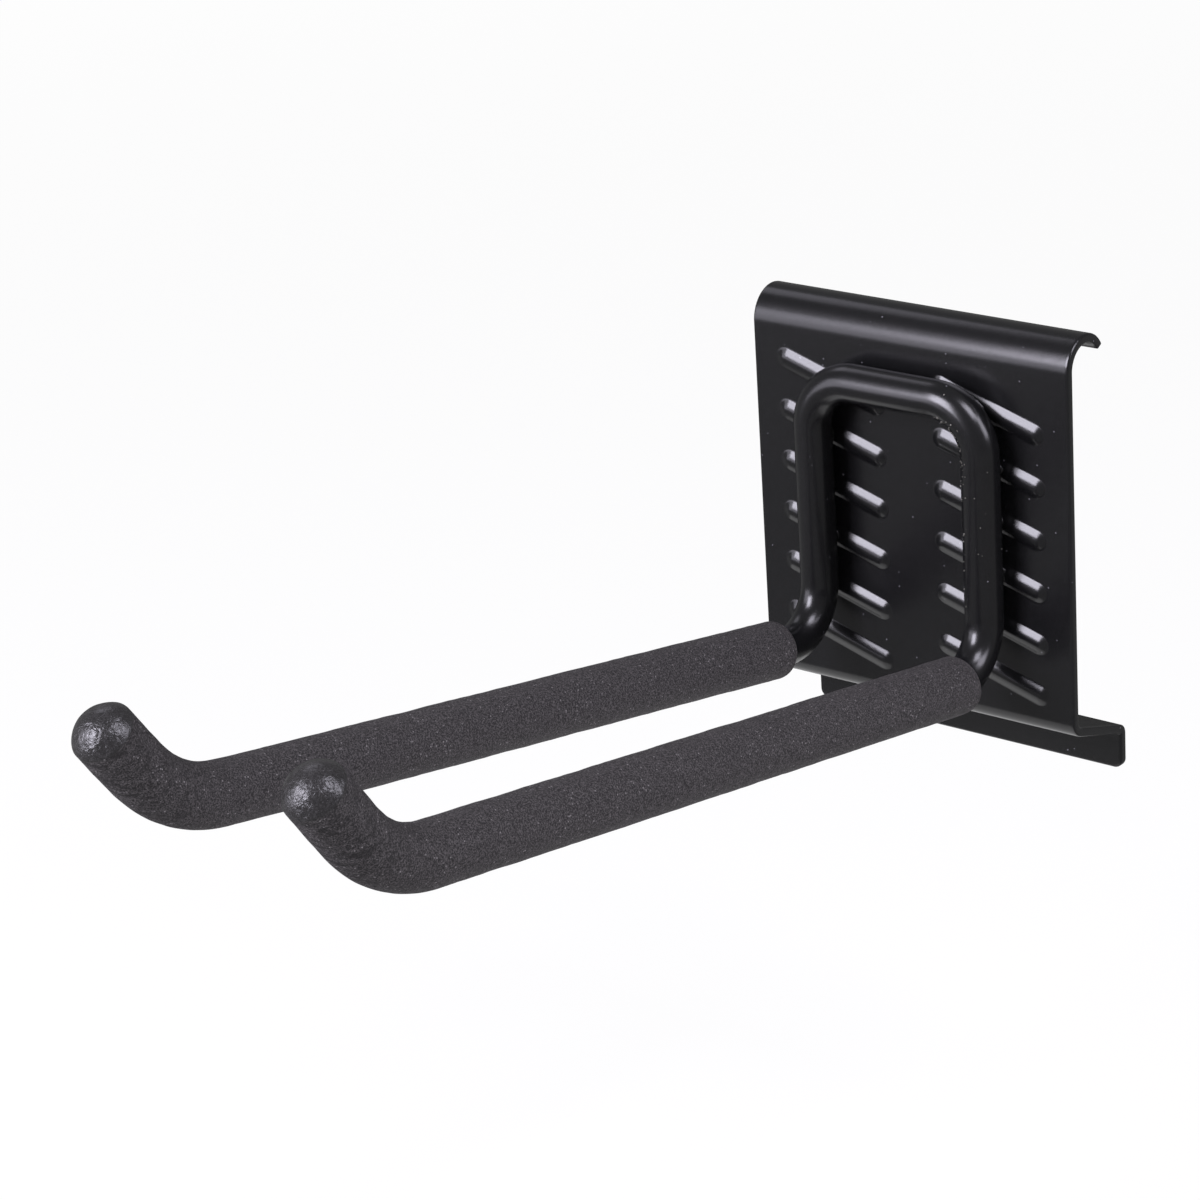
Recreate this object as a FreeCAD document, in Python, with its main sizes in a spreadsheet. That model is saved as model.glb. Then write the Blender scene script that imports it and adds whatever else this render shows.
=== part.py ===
import FreeCAD, Part

import math
import os

import Sketcher

# Double utility hook: a stamped back plate, one bent rod welded to it and two foam sleeves.
# Frame: x across the plate, +y into the wall, +z up, in millimetres.
# Origin: the middle of the lower flange's back face, which rests on the wall panel.

Vector = FreeCAD.Vector
Rotation = FreeCAD.Rotation
Placement = FreeCAD.Placement

# Driving dimensions: alias, value, meaning

SIZES = (
    ("plate_width", 76.2, "width of the back plate"),
    ("plate_height", 96.6, "from the flange's lower edge to the top of the roll"),
    ("sheet", 1.9, "thickness of the plate's sheet"),
    ("standoff", 17.5, "from the wall plane to the back of the plate"),
    ("flange_flat", 7.6, "height of the flange's flat back face"),
    ("flange_corner", 1.9, "radius of the flange's lower corners"),
    ("rear_bend", 0.4, "inside radius of the bend above the flange"),
    ("front_bend", 1.9, "inside radius of the bend under the plate"),
    ("shelf_slope", 18.0, "fall of the shelf towards the wall, degrees"),
    ("roll_radius", 6.7, "outside radius of the rolled top lip"),
    ("roll_wrap", 150.0, "angle that the lip rolls through, degrees"),
    ("edge_round", 0.4, "rounding of the stamped and powder coated edges"),
    ("bead_length", 27.6, "overall length of one stamped bead"),
    ("bead_width", 4.6, "width of a bead over its feet"),
    ("bead_height", 0.8, "height of a bead's crown above the plate"),
    ("bead_foot", 0.6, "radius where a bead runs out into the plate"),
    ("bead_slope", 16.6, "fall of a bead towards +x, degrees"),
    ("bead_pitch", 11.1, "height between two beads of a column"),
    ("bead_rows", 6, "beads in a column"),
    ("bead_drop", 16.7, "from the top of the roll to the middle of the first bead"),
    ("column_spacing", 38.1, "distance between the two columns of beads"),
    ("rod_radius", 3.97, "radius of the hook rod"),
    ("leg_spacing", 40.8, "distance between the axes of the rod's legs"),
    ("loop_drop", 14.35, "from the top of the roll to the axis of the top bar"),
    ("loop_corner", 10.5, "centreline radius of the loop's upper corners"),
    ("leg_foot", 34.3, "height at which a leg's straight run ends"),
    ("root_bend", 10.95, "centreline radius of the bend from leg to arm"),
    ("arm_rise", 9.9, "angle of an arm above level, degrees"),
    ("arm_toe", 1.25, "angle by which an arm turns outwards, degrees"),
    ("arm_straight", 161.3, "straight run of an arm"),
    ("tip_bend", 29.7, "centreline radius of the upturned tip"),
    ("tip_rise", 54.1, "angle of the tip above level, degrees"),
    ("tip_straight", 12.4, "straight run of the tip, up to the foot of the dome"),
    ("sleeve_radius", 6.0, "outside radius of a foam sleeve"),
    ("sleeve_fit", 0.05, "play between the rod and the bore of a sleeve"),
    ("sleeve_reach", 14.0, "part of the root bend that a sleeve covers, degrees"),
    ("sleeve_rim", 1.4, "rounding of the open end of a sleeve"),
    ("dome_height", 4.0, "height of the closed end of a sleeve"),
    ("dome_round", 1.2, "rounding of the edge of the closed end"),
    ("end_wall", 3.0, "foam between the rod's end and the top of the dome"),
    ("land", 0.2, "least flat that a rounding leaves beside it"),
)

SHEET_NAME = "Sizes"

doc = FreeCAD.newDocument("utility_hook")


def make_sheet():
    """Write the driving dimensions into a spreadsheet, one alias each."""
    sheet = doc.addObject("Spreadsheet::Sheet", SHEET_NAME)
    for row, (alias, value, meaning) in enumerate(SIZES, start=1):
        sheet.set(f"A{row}", meaning)
        sheet.set(f"B{row}", str(value))
        sheet.setAlias(f"B{row}", alias)
    doc.recompute()
    return sheet


sizes = make_sheet()


def size(alias):
    """Return the value that the spreadsheet holds for an alias."""
    return float(sizes.get(alias))


def cell(formula):
    """Turn a formula with aliases in braces into an expression on the sheet."""
    return formula.replace("{", SHEET_NAME + ".").replace("}", "")


def ray(degrees):
    """Return the unit vector at an angle in a sketch's plane."""
    angle = math.radians(degrees)
    return Vector(math.cos(angle), math.sin(angle), 0)


# Places that several pieces share, as formulas on the sheet

PLATE_FRONT = "({standoff} + {sheet})"
ROD_DEPTH = "({standoff} + {sheet} + {bead_height} + {rod_radius})"
PLATE_TOP = "({plate_height} - {flange_flat} / 2)"
FIRST_BEAD = "({plate_height} - {flange_flat} / 2 - {bead_drop})"
TOP_BAR = "({plate_height} - {flange_flat} / 2 - {loop_drop})"
TIP_RUN = "({tip_straight} + {dome_height} - {end_wall})"
BEAD_HALF_RUN = "(({bead_length} - {bead_width}) / 2)"

plate_front = size("standoff") + size("sheet")
plate_top = size("plate_height") - size("flange_flat") / 2
top_bar = plate_top - size("loop_drop")


# Sketch helpers


def make_body(name):
    """Start a body whose label names its file."""
    body = doc.addObject("PartDesign::Body", name)
    body.Label = name
    return body


def origin_plane(body, role):
    """Return the origin plane or axis of a body that has the given role."""
    return next(item for item in body.Origin.OriginFeatures if item.Role == role)


def make_sketch(body, name, role):
    """Lay a new sketch on one of the body's origin planes."""
    sketch = body.newObject("Sketcher::SketchObject", name)
    sketch.AttachmentSupport = [(origin_plane(body, role), "")]
    sketch.MapMode = "FlatFace"
    return sketch


def shift(sketch, base=("0", "0", "0"), axis=None, angle="0"):
    """Bind a sketch's offset from its plane: three lengths and one turn."""
    if axis is not None:
        sketch.AttachmentOffset = Placement(Vector(), Rotation(axis, 1))
        sketch.setExpression("AttachmentOffset.Rotation.Angle", cell(angle))
    for letter, formula in zip("xyz", base):
        sketch.setExpression(f"AttachmentOffset.Base.{letter}", cell(formula))


def add_line(sketch, start, end):
    """Add a line and return its number."""
    return sketch.addGeometry(Part.LineSegment(start, end), False)


def add_arc(sketch, centre, radius, first, last):
    """Add an arc that runs counter-clockwise between two angles in degrees."""
    circle = Part.Circle(centre, Vector(0, 0, 1), radius)
    arc = Part.ArcOfCircle(circle, math.radians(first), math.radians(last))
    return sketch.addGeometry(arc, False)


def fix(sketch, *constraint):
    """Add a constraint that has no value."""
    sketch.addConstraint(Sketcher.Constraint(*constraint))


# The points of a curve, and a sketch's own origin and axes

START, END, CENTRE = range(1, 4)
ROOT_POINT = (-1, 1)
LEVEL_AXIS, UPRIGHT_AXIS = range(-1, -3, -1)

# Directions in a sketch's plane, in degrees, and the curves of the rod's lines in drawn order

RIGHT, UP, LEFT, DOWN = range(0, 360, 90)
LEG_LINE = 0
ROOT_ARC, ARM_LINE, TIP_ARC, TIP_LINE = range(4)
NEAR = 1e-4


def dimension(sketch, kind, where, value, formula):
    """Add one dimension with its starting value and bind it to the sheet."""
    number = sketch.addConstraint(Sketcher.Constraint(kind, *where, value))
    sketch.setExpression(f"Constraints[{number}]", cell(formula))


def angle_dimension(sketch, where, degrees, formula):
    """Add one angle and bind it to the sheet's degrees."""
    number = sketch.addConstraint(Sketcher.Constraint("Angle", *where, math.radians(degrees)))
    sketch.setExpression(f"Constraints[{number}]", cell(f"({formula}) * 1 deg"))


# Back plate


def plate_profile(body):
    """Draw the folded sheet's section: flange, shelf, plate and rolled lip."""
    sketch = make_sketch(body, "plate_section", "YZ_Plane")
    sheet = size("sheet")
    slope = size("shelf_slope")
    rear_in = size("rear_bend")
    rear_out = rear_in + sheet
    front_in = size("front_bend")
    front_out = front_in + sheet
    roll_out = size("roll_radius")
    roll_in = roll_out - sheet
    half_flat = size("flange_flat") / 2
    lip_angle = LEFT - size("roll_wrap")
    shelf_up = ray(UP - slope)
    shelf_out = ray(LEFT - slope)

    rear = Vector(-rear_out, half_flat, 0)
    reach = plate_front - front_out - rear_out
    shelf_run = (reach + (rear_out + front_in) * shelf_up.x) / -shelf_out.x
    front = rear + shelf_up * (rear_out + front_in) + shelf_out * shelf_run
    roll = Vector(roll_out - plate_front, plate_top - roll_out, 0)

    flange_front = add_line(sketch, Vector(-sheet, -half_flat, 0), Vector(-sheet, half_flat, 0))
    rear_inner = add_arc(sketch, rear, rear_in, RIGHT, UP - slope)
    shelf_under = add_line(sketch, rear + shelf_up * rear_in, front - shelf_up * front_out)
    front_outer = add_arc(sketch, front, front_out, LEFT, DOWN - slope)
    face_front = add_line(sketch, Vector(-plate_front, front.y, 0), Vector(-plate_front, roll.y, 0))
    roll_outer = add_arc(sketch, roll, roll_out, lip_angle, LEFT)
    lip_end = add_line(sketch, roll + ray(lip_angle) * roll_out, roll + ray(lip_angle) * roll_in)
    roll_inner = add_arc(sketch, roll, roll_in, lip_angle, LEFT)
    face_back = add_line(
        sketch, Vector(sheet - plate_front, roll.y, 0), Vector(sheet - plate_front, front.y, 0)
    )
    front_inner = add_arc(sketch, front, front_in, LEFT, DOWN - slope)
    shelf_top = add_line(sketch, front - shelf_up * front_in, rear + shelf_up * rear_out)
    rear_outer = add_arc(sketch, rear, rear_out, RIGHT, UP - slope)
    flange_back = add_line(sketch, Vector(0, half_flat, 0), Vector(0, -half_flat, 0))
    flange_edge = add_line(sketch, Vector(0, -half_flat, 0), Vector(-sheet, -half_flat, 0))

    for first, first_end, second, second_end in (
        (flange_front, END, rear_inner, START),
        (rear_inner, END, shelf_under, START),
        (shelf_under, END, front_outer, END),
        (front_outer, START, face_front, START),
        (face_front, END, roll_outer, END),
        (roll_inner, END, face_back, START),
        (face_back, END, front_inner, START),
        (front_inner, END, shelf_top, START),
        (shelf_top, END, rear_outer, END),
        (rear_outer, START, flange_back, START),
    ):
        fix(sketch, "Tangent", first, first_end, second, second_end)
    fix(sketch, "Coincident", roll_outer, START, lip_end, START)
    fix(sketch, "Coincident", lip_end, END, roll_inner, START)
    fix(sketch, "Coincident", flange_back, END, flange_edge, START)
    fix(sketch, "Coincident", flange_edge, END, flange_front, START)
    fix(sketch, "Coincident", rear_inner, CENTRE, rear_outer, CENTRE)
    fix(sketch, "Coincident", front_inner, CENTRE, front_outer, CENTRE)
    fix(sketch, "Coincident", roll_inner, CENTRE, roll_outer, CENTRE)
    fix(sketch, "Vertical", flange_front)
    fix(sketch, "Vertical", face_front)
    fix(sketch, "Vertical", flange_back)
    fix(sketch, "Horizontal", flange_edge)
    fix(sketch, "PointOnObject", roll_outer, CENTRE, lip_end)
    fix(sketch, "PointOnObject", flange_back, START, UPRIGHT_AXIS)

    dimension(sketch, "Radius", (rear_inner,), rear_in, "{rear_bend}")
    dimension(sketch, "Radius", (rear_outer,), rear_out, "{rear_bend} + {sheet}")
    dimension(sketch, "Radius", (front_inner,), front_in, "{front_bend}")
    dimension(sketch, "Radius", (front_outer,), front_out, "{front_bend} + {sheet}")
    dimension(sketch, "Radius", (roll_outer,), roll_out, "{roll_radius}")
    dimension(sketch, "Radius", (roll_inner,), roll_in, "{roll_radius} - {sheet}")
    dimension(sketch, "DistanceY", (flange_back, END, flange_back, START), 2 * half_flat, "{flange_flat}")
    dimension(sketch, "DistanceY", (flange_back, END, *ROOT_POINT), half_flat, "{flange_flat} / 2")
    dimension(sketch, "DistanceX", (face_back, END, *ROOT_POINT), plate_front - sheet, "{standoff}")
    dimension(
        sketch, "DistanceY", (*ROOT_POINT, roll_outer, CENTRE), roll.y, PLATE_TOP + " - {roll_radius}"
    )
    angle_dimension(sketch, (LEVEL_AXIS, START, shelf_top, START), -slope, "-{shelf_slope}")
    angle_dimension(sketch, (LEVEL_AXIS, START, lip_end, START), lip_angle - LEFT, "-{roll_wrap}")
    return sketch


def crown_values():
    """Return the radius of a bead's crown and half the angle that it spans.

    The crown's circle touches both foot circles, which touch the plate's face.
    """
    half_width = size("bead_width") / 2
    height = size("bead_height")
    foot = size("bead_foot")
    crown = (half_width ** 2 + height ** 2) / (2 * height) - foot
    spread = math.degrees(math.atan2(half_width, crown - height + foot))
    return crown, spread


def place_bead_sketch(sketch, along):
    """Stand a sketch across the first bead, a given way along it from its middle."""
    shift(
        sketch,
        (
            "0",
            f"{FIRST_BEAD} - ({along}) * sin({{bead_slope}} * 1 deg)",
            f"-{{column_spacing}} / 2 + ({along}) * cos({{bead_slope}} * 1 deg)",
        ),
        Vector(1, 0, 0),
        "{bead_slope}",
    )


def foot_arc(sketch, side, spread):
    """Draw the arc on which one side of a bead runs out into the plate's face."""
    foot = size("bead_foot")
    centre = Vector(-plate_front - foot, side * size("bead_width") / 2, 0)
    first, last = (-spread, RIGHT) if side > 0 else (RIGHT, spread)
    arc = add_arc(sketch, centre, foot, first, last)
    face_end = END if side > 0 else START
    dimension(sketch, "Radius", (arc,), foot, "{bead_foot}")
    dimension(sketch, "DistanceX", (arc, CENTRE, *ROOT_POINT), -centre.x, PLATE_FRONT + " + {bead_foot}")
    ends = (*ROOT_POINT, arc, CENTRE) if side > 0 else (arc, CENTRE, *ROOT_POINT)
    dimension(sketch, "DistanceY", ends, abs(centre.y), "{bead_width} / 2")
    fix(sketch, "Horizontal", arc, face_end, arc, CENTRE)
    return arc


def crown_arc(sketch, first, last, crown):
    """Draw the top of a bead, with its centre on the bead's middle plane."""
    centre = Vector(crown - size("bead_height") - plate_front, 0, 0)
    arc = add_arc(sketch, centre, crown, first, last)
    radius = "({bead_width}^2 / 4 + {bead_height}^2) / (2 * {bead_height}) - {bead_foot}"
    dimension(sketch, "Radius", (arc,), crown, radius)
    return arc


def bead_section(body):
    """Draw the whole section of a bead, closed inside the sheet."""
    sketch = make_sketch(body, "bead_section", "YZ_Plane")
    place_bead_sketch(sketch, "0")
    crown, spread = crown_values()
    half_width = size("bead_width") / 2
    inside = size("sheet") / 2 - plate_front
    upper = foot_arc(sketch, 1, spread)
    crest = crown_arc(sketch, LEFT - spread, LEFT + spread, crown)
    lower = foot_arc(sketch, -1, spread)
    top = add_line(sketch, Vector(-plate_front, half_width, 0), Vector(inside, half_width, 0))
    back = add_line(sketch, Vector(inside, half_width, 0), Vector(inside, -half_width, 0))
    bottom = add_line(sketch, Vector(inside, -half_width, 0), Vector(-plate_front, -half_width, 0))
    fix(sketch, "Tangent", upper, START, crest, START)
    fix(sketch, "Tangent", lower, END, crest, END)
    fix(sketch, "Coincident", upper, END, top, START)
    fix(sketch, "Coincident", top, END, back, START)
    fix(sketch, "Coincident", back, END, bottom, START)
    fix(sketch, "Coincident", bottom, END, lower, START)
    fix(sketch, "Horizontal", top)
    fix(sketch, "Vertical", back)
    fix(sketch, "Horizontal", bottom)
    dimension(sketch, "DistanceX", (top, START, top, END), size("sheet") / 2, "{sheet} / 2")
    return sketch


def bead_end_section(body, name, along):
    """Draw half of a bead's section beside the axis of its round end."""
    sketch = make_sketch(body, name, "YZ_Plane")
    place_bead_sketch(sketch, along)
    crown, spread = crown_values()
    half_width = size("bead_width") / 2
    inside = size("sheet") / 2 - plate_front
    apex = Vector(-plate_front - size("bead_height"), 0, 0)
    upper = foot_arc(sketch, 1, spread)
    crest = crown_arc(sketch, LEFT - spread, LEFT, crown)
    fix(sketch, "PointOnObject", crest, CENTRE, LEVEL_AXIS)
    top = add_line(sketch, Vector(-plate_front, half_width, 0), Vector(inside, half_width, 0))
    back = add_line(sketch, Vector(inside, half_width, 0), Vector(inside, 0, 0))
    middle = add_line(sketch, Vector(inside, 0, 0), apex)
    fix(sketch, "Tangent", upper, START, crest, START)
    fix(sketch, "Coincident", upper, END, top, START)
    fix(sketch, "Coincident", top, END, back, START)
    fix(sketch, "Coincident", back, END, middle, START)
    fix(sketch, "Coincident", middle, END, crest, END)
    fix(sketch, "Horizontal", top)
    fix(sketch, "Vertical", back)
    fix(sketch, "PointOnObject", back, END, LEVEL_AXIS)
    fix(sketch, "PointOnObject", middle, END, LEVEL_AXIS)
    dimension(sketch, "DistanceX", (top, START, top, END), size("sheet") / 2, "{sheet} / 2")
    return sketch


def recess_section(body, name, along, whole):
    """Draw the hollow that a bead leaves in the back of the sheet, whole or half.

    It keeps the sheet's thickness under the crown, and its sides run out of the back
    by that thickness once more.
    """
    sketch = make_sketch(body, name, "YZ_Plane")
    place_bead_sketch(sketch, along)
    crown, _ = crown_values()
    hollow = crown - size("sheet")
    centre_x = crown - size("bead_height") - plate_front
    open_x = 2 * size("sheet") - plate_front
    low = -hollow if whole else 0
    last = DOWN if whole else LEFT
    floor = add_arc(sketch, Vector(centre_x, 0, 0), hollow, UP, last)
    top = add_line(sketch, Vector(centre_x, hollow, 0), Vector(open_x, hollow, 0))
    back = add_line(sketch, Vector(open_x, hollow, 0), Vector(open_x, low, 0))
    floor_end = Vector(centre_x, -hollow, 0) if whole else Vector(centre_x - hollow, 0, 0)
    bottom = add_line(sketch, Vector(open_x, low, 0), floor_end)
    fix(sketch, "Coincident", top, END, back, START)
    fix(sketch, "Coincident", back, END, bottom, START)
    fix(sketch, "Tangent", floor, START, top, START)
    fix(sketch, "Horizontal", top)
    fix(sketch, "Vertical", back)
    fix(sketch, "PointOnObject", floor, CENTRE, LEVEL_AXIS)
    if whole:
        fix(sketch, "Tangent", floor, END, bottom, END)
        fix(sketch, "Horizontal", bottom)
    else:
        fix(sketch, "Coincident", floor, END, bottom, END)
        fix(sketch, "PointOnObject", back, END, LEVEL_AXIS)
        fix(sketch, "PointOnObject", bottom, END, LEVEL_AXIS)
    radius = "({bead_width}^2 / 4 + {bead_height}^2) / (2 * {bead_height}) - {bead_foot} - {sheet}"
    dimension(sketch, "Radius", (floor,), hollow, radius)
    depth = PLATE_FRONT + " + {bead_height} - (" + radius + " + {sheet})"
    dimension(sketch, "DistanceX", (floor, CENTRE, *ROOT_POINT), -centre_x, depth)
    dimension(sketch, "DistanceX", (back, START, *ROOT_POINT), -open_x, PLATE_FRONT + " - 2 * {sheet}")
    return sketch


def repeat_beads(body, name, originals):
    """Repeat one bead's features down a column and over to the second column."""
    down = body.newObject("PartDesign::LinearPattern", name + "_down")
    down.Direction = (origin_plane(body, "Z_Axis"), [""])
    down.Reversed = True
    down.Occurrences = int(size("bead_rows"))
    down.setExpression("Length", cell("({bead_rows} - 1) * {bead_pitch}"))
    down.setExpression("Occurrences", cell("{bead_rows}"))
    across = body.newObject("PartDesign::LinearPattern", name + "_across")
    across.Direction = (origin_plane(body, "X_Axis"), [""])
    across.Occurrences = 2
    across.setExpression("Length", cell("{column_spacing}"))
    grid = body.newObject("PartDesign::MultiTransform", name + "_grid")
    grid.Originals = originals
    grid.Transformations = [down, across]
    body.Tip = grid
    doc.recompute()
    return grid


def turn_round(body, kind, name, sketch):
    """Turn a sketch once round its own level axis."""
    feature = body.newObject("PartDesign::" + kind, name)
    feature.Profile = sketch
    feature.ReferenceAxis = (sketch, ["H_Axis"])
    feature.Angle = 360
    return feature


def press_beads(body):
    """Raise the slanted beads on the front and hollow them from the back."""
    ends = (("left", "-" + BEAD_HALF_RUN), ("right", BEAD_HALF_RUN))

    raised = [body.newObject("PartDesign::Pad", "bead_run")]
    raised[0].Profile = bead_section(body)
    raised[0].SideType = "Symmetric"
    raised[0].setExpression("Length", cell("{bead_length} - {bead_width}"))
    for side, along in ends:
        profile = bead_end_section(body, f"bead_{side}_section", along)
        raised.append(turn_round(body, "Revolution", f"bead_{side}_end", profile))
    doc.recompute()
    repeat_beads(body, "bead", raised)

    hollowed = [body.newObject("PartDesign::Pocket", "recess_run")]
    hollowed[0].Profile = recess_section(body, "recess_section", "0", True)
    hollowed[0].SideType = "Symmetric"
    hollowed[0].setExpression("Length", cell("{bead_length} - {bead_width}"))
    for side, along in ends:
        profile = recess_section(body, f"recess_{side}_section", along, False)
        hollowed.append(turn_round(body, "Groove", f"recess_{side}_end", profile))
    doc.recompute()
    repeat_beads(body, "recess", hollowed)


def edges_where(shape, test):
    """Name the edges of a shape that pass a test."""
    return [f"Edge{number}" for number, edge in enumerate(shape.Edges, start=1) if test(edge)]


def round_edges(body, name, test, formula):
    """Fillet the edges of a body's last feature that pass a test."""
    base = body.Tip
    fillet = body.newObject("PartDesign::Fillet", name)
    fillet.Base = (base, edges_where(base.Shape, test))
    fillet.setExpression("Radius", cell(formula))
    body.Tip = fillet
    doc.recompute()


def make_back_plate():
    """Fold the sheet, press its beads and round its edges."""
    body = make_body("back_plate")
    fold = body.newObject("PartDesign::Pad", "folded_sheet")
    fold.Profile = plate_profile(body)
    fold.SideType = "Symmetric"
    fold.setExpression("Length", cell("{plate_width}"))
    doc.recompute()
    press_beads(body)

    half_width = size("plate_width") / 2
    foot = -size("flange_flat") / 2
    corner_start = half_width - size("flange_corner")
    lip = ray(LEFT - size("roll_wrap"))
    roll_y = size("roll_radius") - plate_front
    roll_z = plate_top - size("roll_radius")

    def is_across_sheet(box):
        return box.XLength < NEAR and box.ZLength < NEAR

    def is_flange_corner(edge):
        box = edge.BoundBox
        at_foot = abs(box.ZMin - foot) < NEAR
        return is_across_sheet(box) and at_foot and abs(abs(box.XMin) - half_width) < NEAR

    def is_side(box):
        return box.XLength < NEAR and abs(abs(box.XMin) - half_width) < NEAR

    def is_foot(box):
        return box.ZLength < NEAR and box.YLength < NEAR and abs(box.ZMin - foot) < NEAR

    def is_corner_arc(box):
        outside = box.XMax > corner_start - NEAR or box.XMin < NEAR - corner_start
        return outside and box.ZMin < foot + NEAR and box.XLength > NEAR and box.ZLength > NEAR

    def is_lip(box):
        level = box.YLength < NEAR and box.ZLength < NEAR and box.XLength > half_width
        out_y = box.YMin - roll_y
        out_z = box.ZMin - roll_z
        along = out_y * lip.x + out_z * lip.y
        aside = out_z * lip.x - out_y * lip.y
        return level and along > 0 and abs(aside) < NEAR

    def is_outline(edge):
        return any(test(edge.BoundBox) for test in (is_side, is_foot, is_corner_arc, is_lip))

    round_edges(body, "flange_corners", is_flange_corner, "min({flange_corner}; {flange_flat} / 2)")
    round_edges(body, "edge_rounding", is_outline, "min({edge_round}; {sheet} / 2 - {land})")
    return body


# Hook rod


def loop_path(body):
    """Draw the rod's line round the top of the loop: leg, top bar and leg."""
    sketch = make_sketch(body, "loop_path", "XZ_Plane")
    shift(sketch, ("0", "0", ROD_DEPTH))
    leg = size("leg_spacing") / 2
    corner = size("loop_corner")
    low = size("leg_foot")
    right = add_line(sketch, Vector(leg, low, 0), Vector(leg, top_bar - corner, 0))
    right_corner = add_arc(sketch, Vector(leg - corner, top_bar - corner, 0), corner, RIGHT, UP)
    bar = add_line(sketch, Vector(leg - corner, top_bar, 0), Vector(corner - leg, top_bar, 0))
    left_corner = add_arc(sketch, Vector(corner - leg, top_bar - corner, 0), corner, UP, LEFT)
    left = add_line(sketch, Vector(-leg, top_bar - corner, 0), Vector(-leg, low, 0))
    fix(sketch, "Tangent", right, END, right_corner, START)
    fix(sketch, "Tangent", right_corner, END, bar, START)
    fix(sketch, "Tangent", bar, END, left_corner, START)
    fix(sketch, "Tangent", left_corner, END, left, START)
    fix(sketch, "Vertical", right)
    fix(sketch, "Vertical", left)
    fix(sketch, "Horizontal", bar)
    fix(sketch, "Horizontal", right, START, left, END)
    fix(sketch, "Equal", right_corner, left_corner)
    dimension(sketch, "Radius", (right_corner,), corner, "{loop_corner}")
    dimension(sketch, "DistanceX", (*ROOT_POINT, right, START), leg, "{leg_spacing} / 2")
    dimension(sketch, "DistanceX", (left, END, right, START), 2 * leg, "{leg_spacing}")
    dimension(sketch, "DistanceY", (*ROOT_POINT, right, START), low, "{leg_foot}")
    dimension(sketch, "DistanceY", (*ROOT_POINT, bar, START), top_bar, TOP_BAR)
    return sketch


def arm_path(body, name, root_turn, root_formula, end_run, end_formula):
    """Draw an arm's line in its own plane: root bend, arm, tip bend and tip.

    In the sketch x points back to the wall and the leg's axis is the upright axis.
    The root bend starts where the turn still to come is root_turn.
    """
    sketch = make_sketch(body, name, "YZ_Plane")
    rise = size("arm_rise")
    tip_rise = size("tip_rise")
    root_radius = size("root_bend")
    tip_radius = size("tip_bend")
    forward = ray(LEFT - rise)
    upward = ray(LEFT - tip_rise)
    arm_normal = ray(UP - rise)
    tip_normal = ray(UP - tip_rise)

    root_centre = Vector(-root_radius, size("leg_foot"), 0)
    arm_start = root_centre - arm_normal * root_radius
    arm_end = arm_start + forward * size("arm_straight")
    tip_centre = arm_end + arm_normal * tip_radius
    tip_start = tip_centre - tip_normal * tip_radius
    tip_end = tip_start + upward * end_run

    root = add_arc(sketch, root_centre, root_radius, DOWN - rise, DOWN - rise + root_turn)
    arm = add_line(sketch, arm_start, arm_end)
    bend = add_arc(sketch, tip_centre, tip_radius, DOWN - tip_rise, DOWN - rise)
    tip = add_line(sketch, tip_start, tip_end)
    root_end = root_centre + ray(DOWN - rise + root_turn) * root_radius
    radius_line = add_line(sketch, root_centre, root_end)
    sketch.toggleConstruction(radius_line)

    fix(sketch, "Tangent", root, START, arm, START)
    fix(sketch, "Tangent", arm, END, bend, END)
    fix(sketch, "Tangent", bend, START, tip, START)
    fix(sketch, "Coincident", radius_line, START, root, CENTRE)
    fix(sketch, "Coincident", radius_line, END, root, END)
    dimension(sketch, "Radius", (root,), root_radius, "{root_bend}")
    dimension(sketch, "Radius", (bend,), tip_radius, "{tip_bend}")
    dimension(sketch, "DistanceX", (root, CENTRE, *ROOT_POINT), root_radius, "{root_bend}")
    dimension(sketch, "DistanceY", (*ROOT_POINT, root, CENTRE), size("leg_foot"), "{leg_foot}")
    dimension(sketch, "Distance", (arm, START, arm, END), size("arm_straight"), "{arm_straight}")
    dimension(sketch, "Distance", (tip, START, tip, END), end_run, end_formula)
    angle_dimension(sketch, (LEVEL_AXIS, START, arm, START), LEFT - rise, "180 - {arm_rise}")
    angle_dimension(sketch, (LEVEL_AXIS, START, tip, START), LEFT - tip_rise, "180 - {tip_rise}")
    lean = root_turn - UP - rise
    angle_dimension(sketch, (LEVEL_AXIS, START, radius_line, START), lean, root_formula)
    return sketch


def sweep(body, kind, name, profile, path):
    """Sweep a profile along a path as an additive or subtractive pipe."""
    pipe = body.newObject("PartDesign::" + kind, name)
    pipe.Profile = profile
    pipe.Spine = path
    body.Tip = pipe
    doc.recompute()
    return pipe


def sketch_across(body, name, path, end):
    """Lay a new sketch square across one end of a path; end is a line and its point."""
    place = path.Placement.multVec(path.getPoint(*end))
    shape = path.Shape
    vertex = next(n for n, v in enumerate(shape.Vertexes, start=1) if (v.Point - place).Length < NEAR)
    edge = next(
        n
        for n, e in enumerate(shape.Edges, start=1)
        if any((v.Point - place).Length < NEAR for v in e.Vertexes)
    )
    sketch = body.newObject("Sketcher::SketchObject", name)
    sketch.AttachmentSupport = [(path, f"Edge{edge}"), (path, f"Vertex{vertex}")]
    sketch.MapMode = "NormalToEdge"
    return sketch


def round_section(body, name, path, end, formula):
    """Draw a circle round one end of a path."""
    sketch = sketch_across(body, name, path, end)
    radius = size("rod_radius")
    circle = sketch.addGeometry(Part.Circle(Vector(), Vector(0, 0, 1), radius), False)
    fix(sketch, "Coincident", circle, CENTRE, *ROOT_POINT)
    dimension(sketch, "Radius", (circle,), radius, formula)
    return sketch


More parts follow.
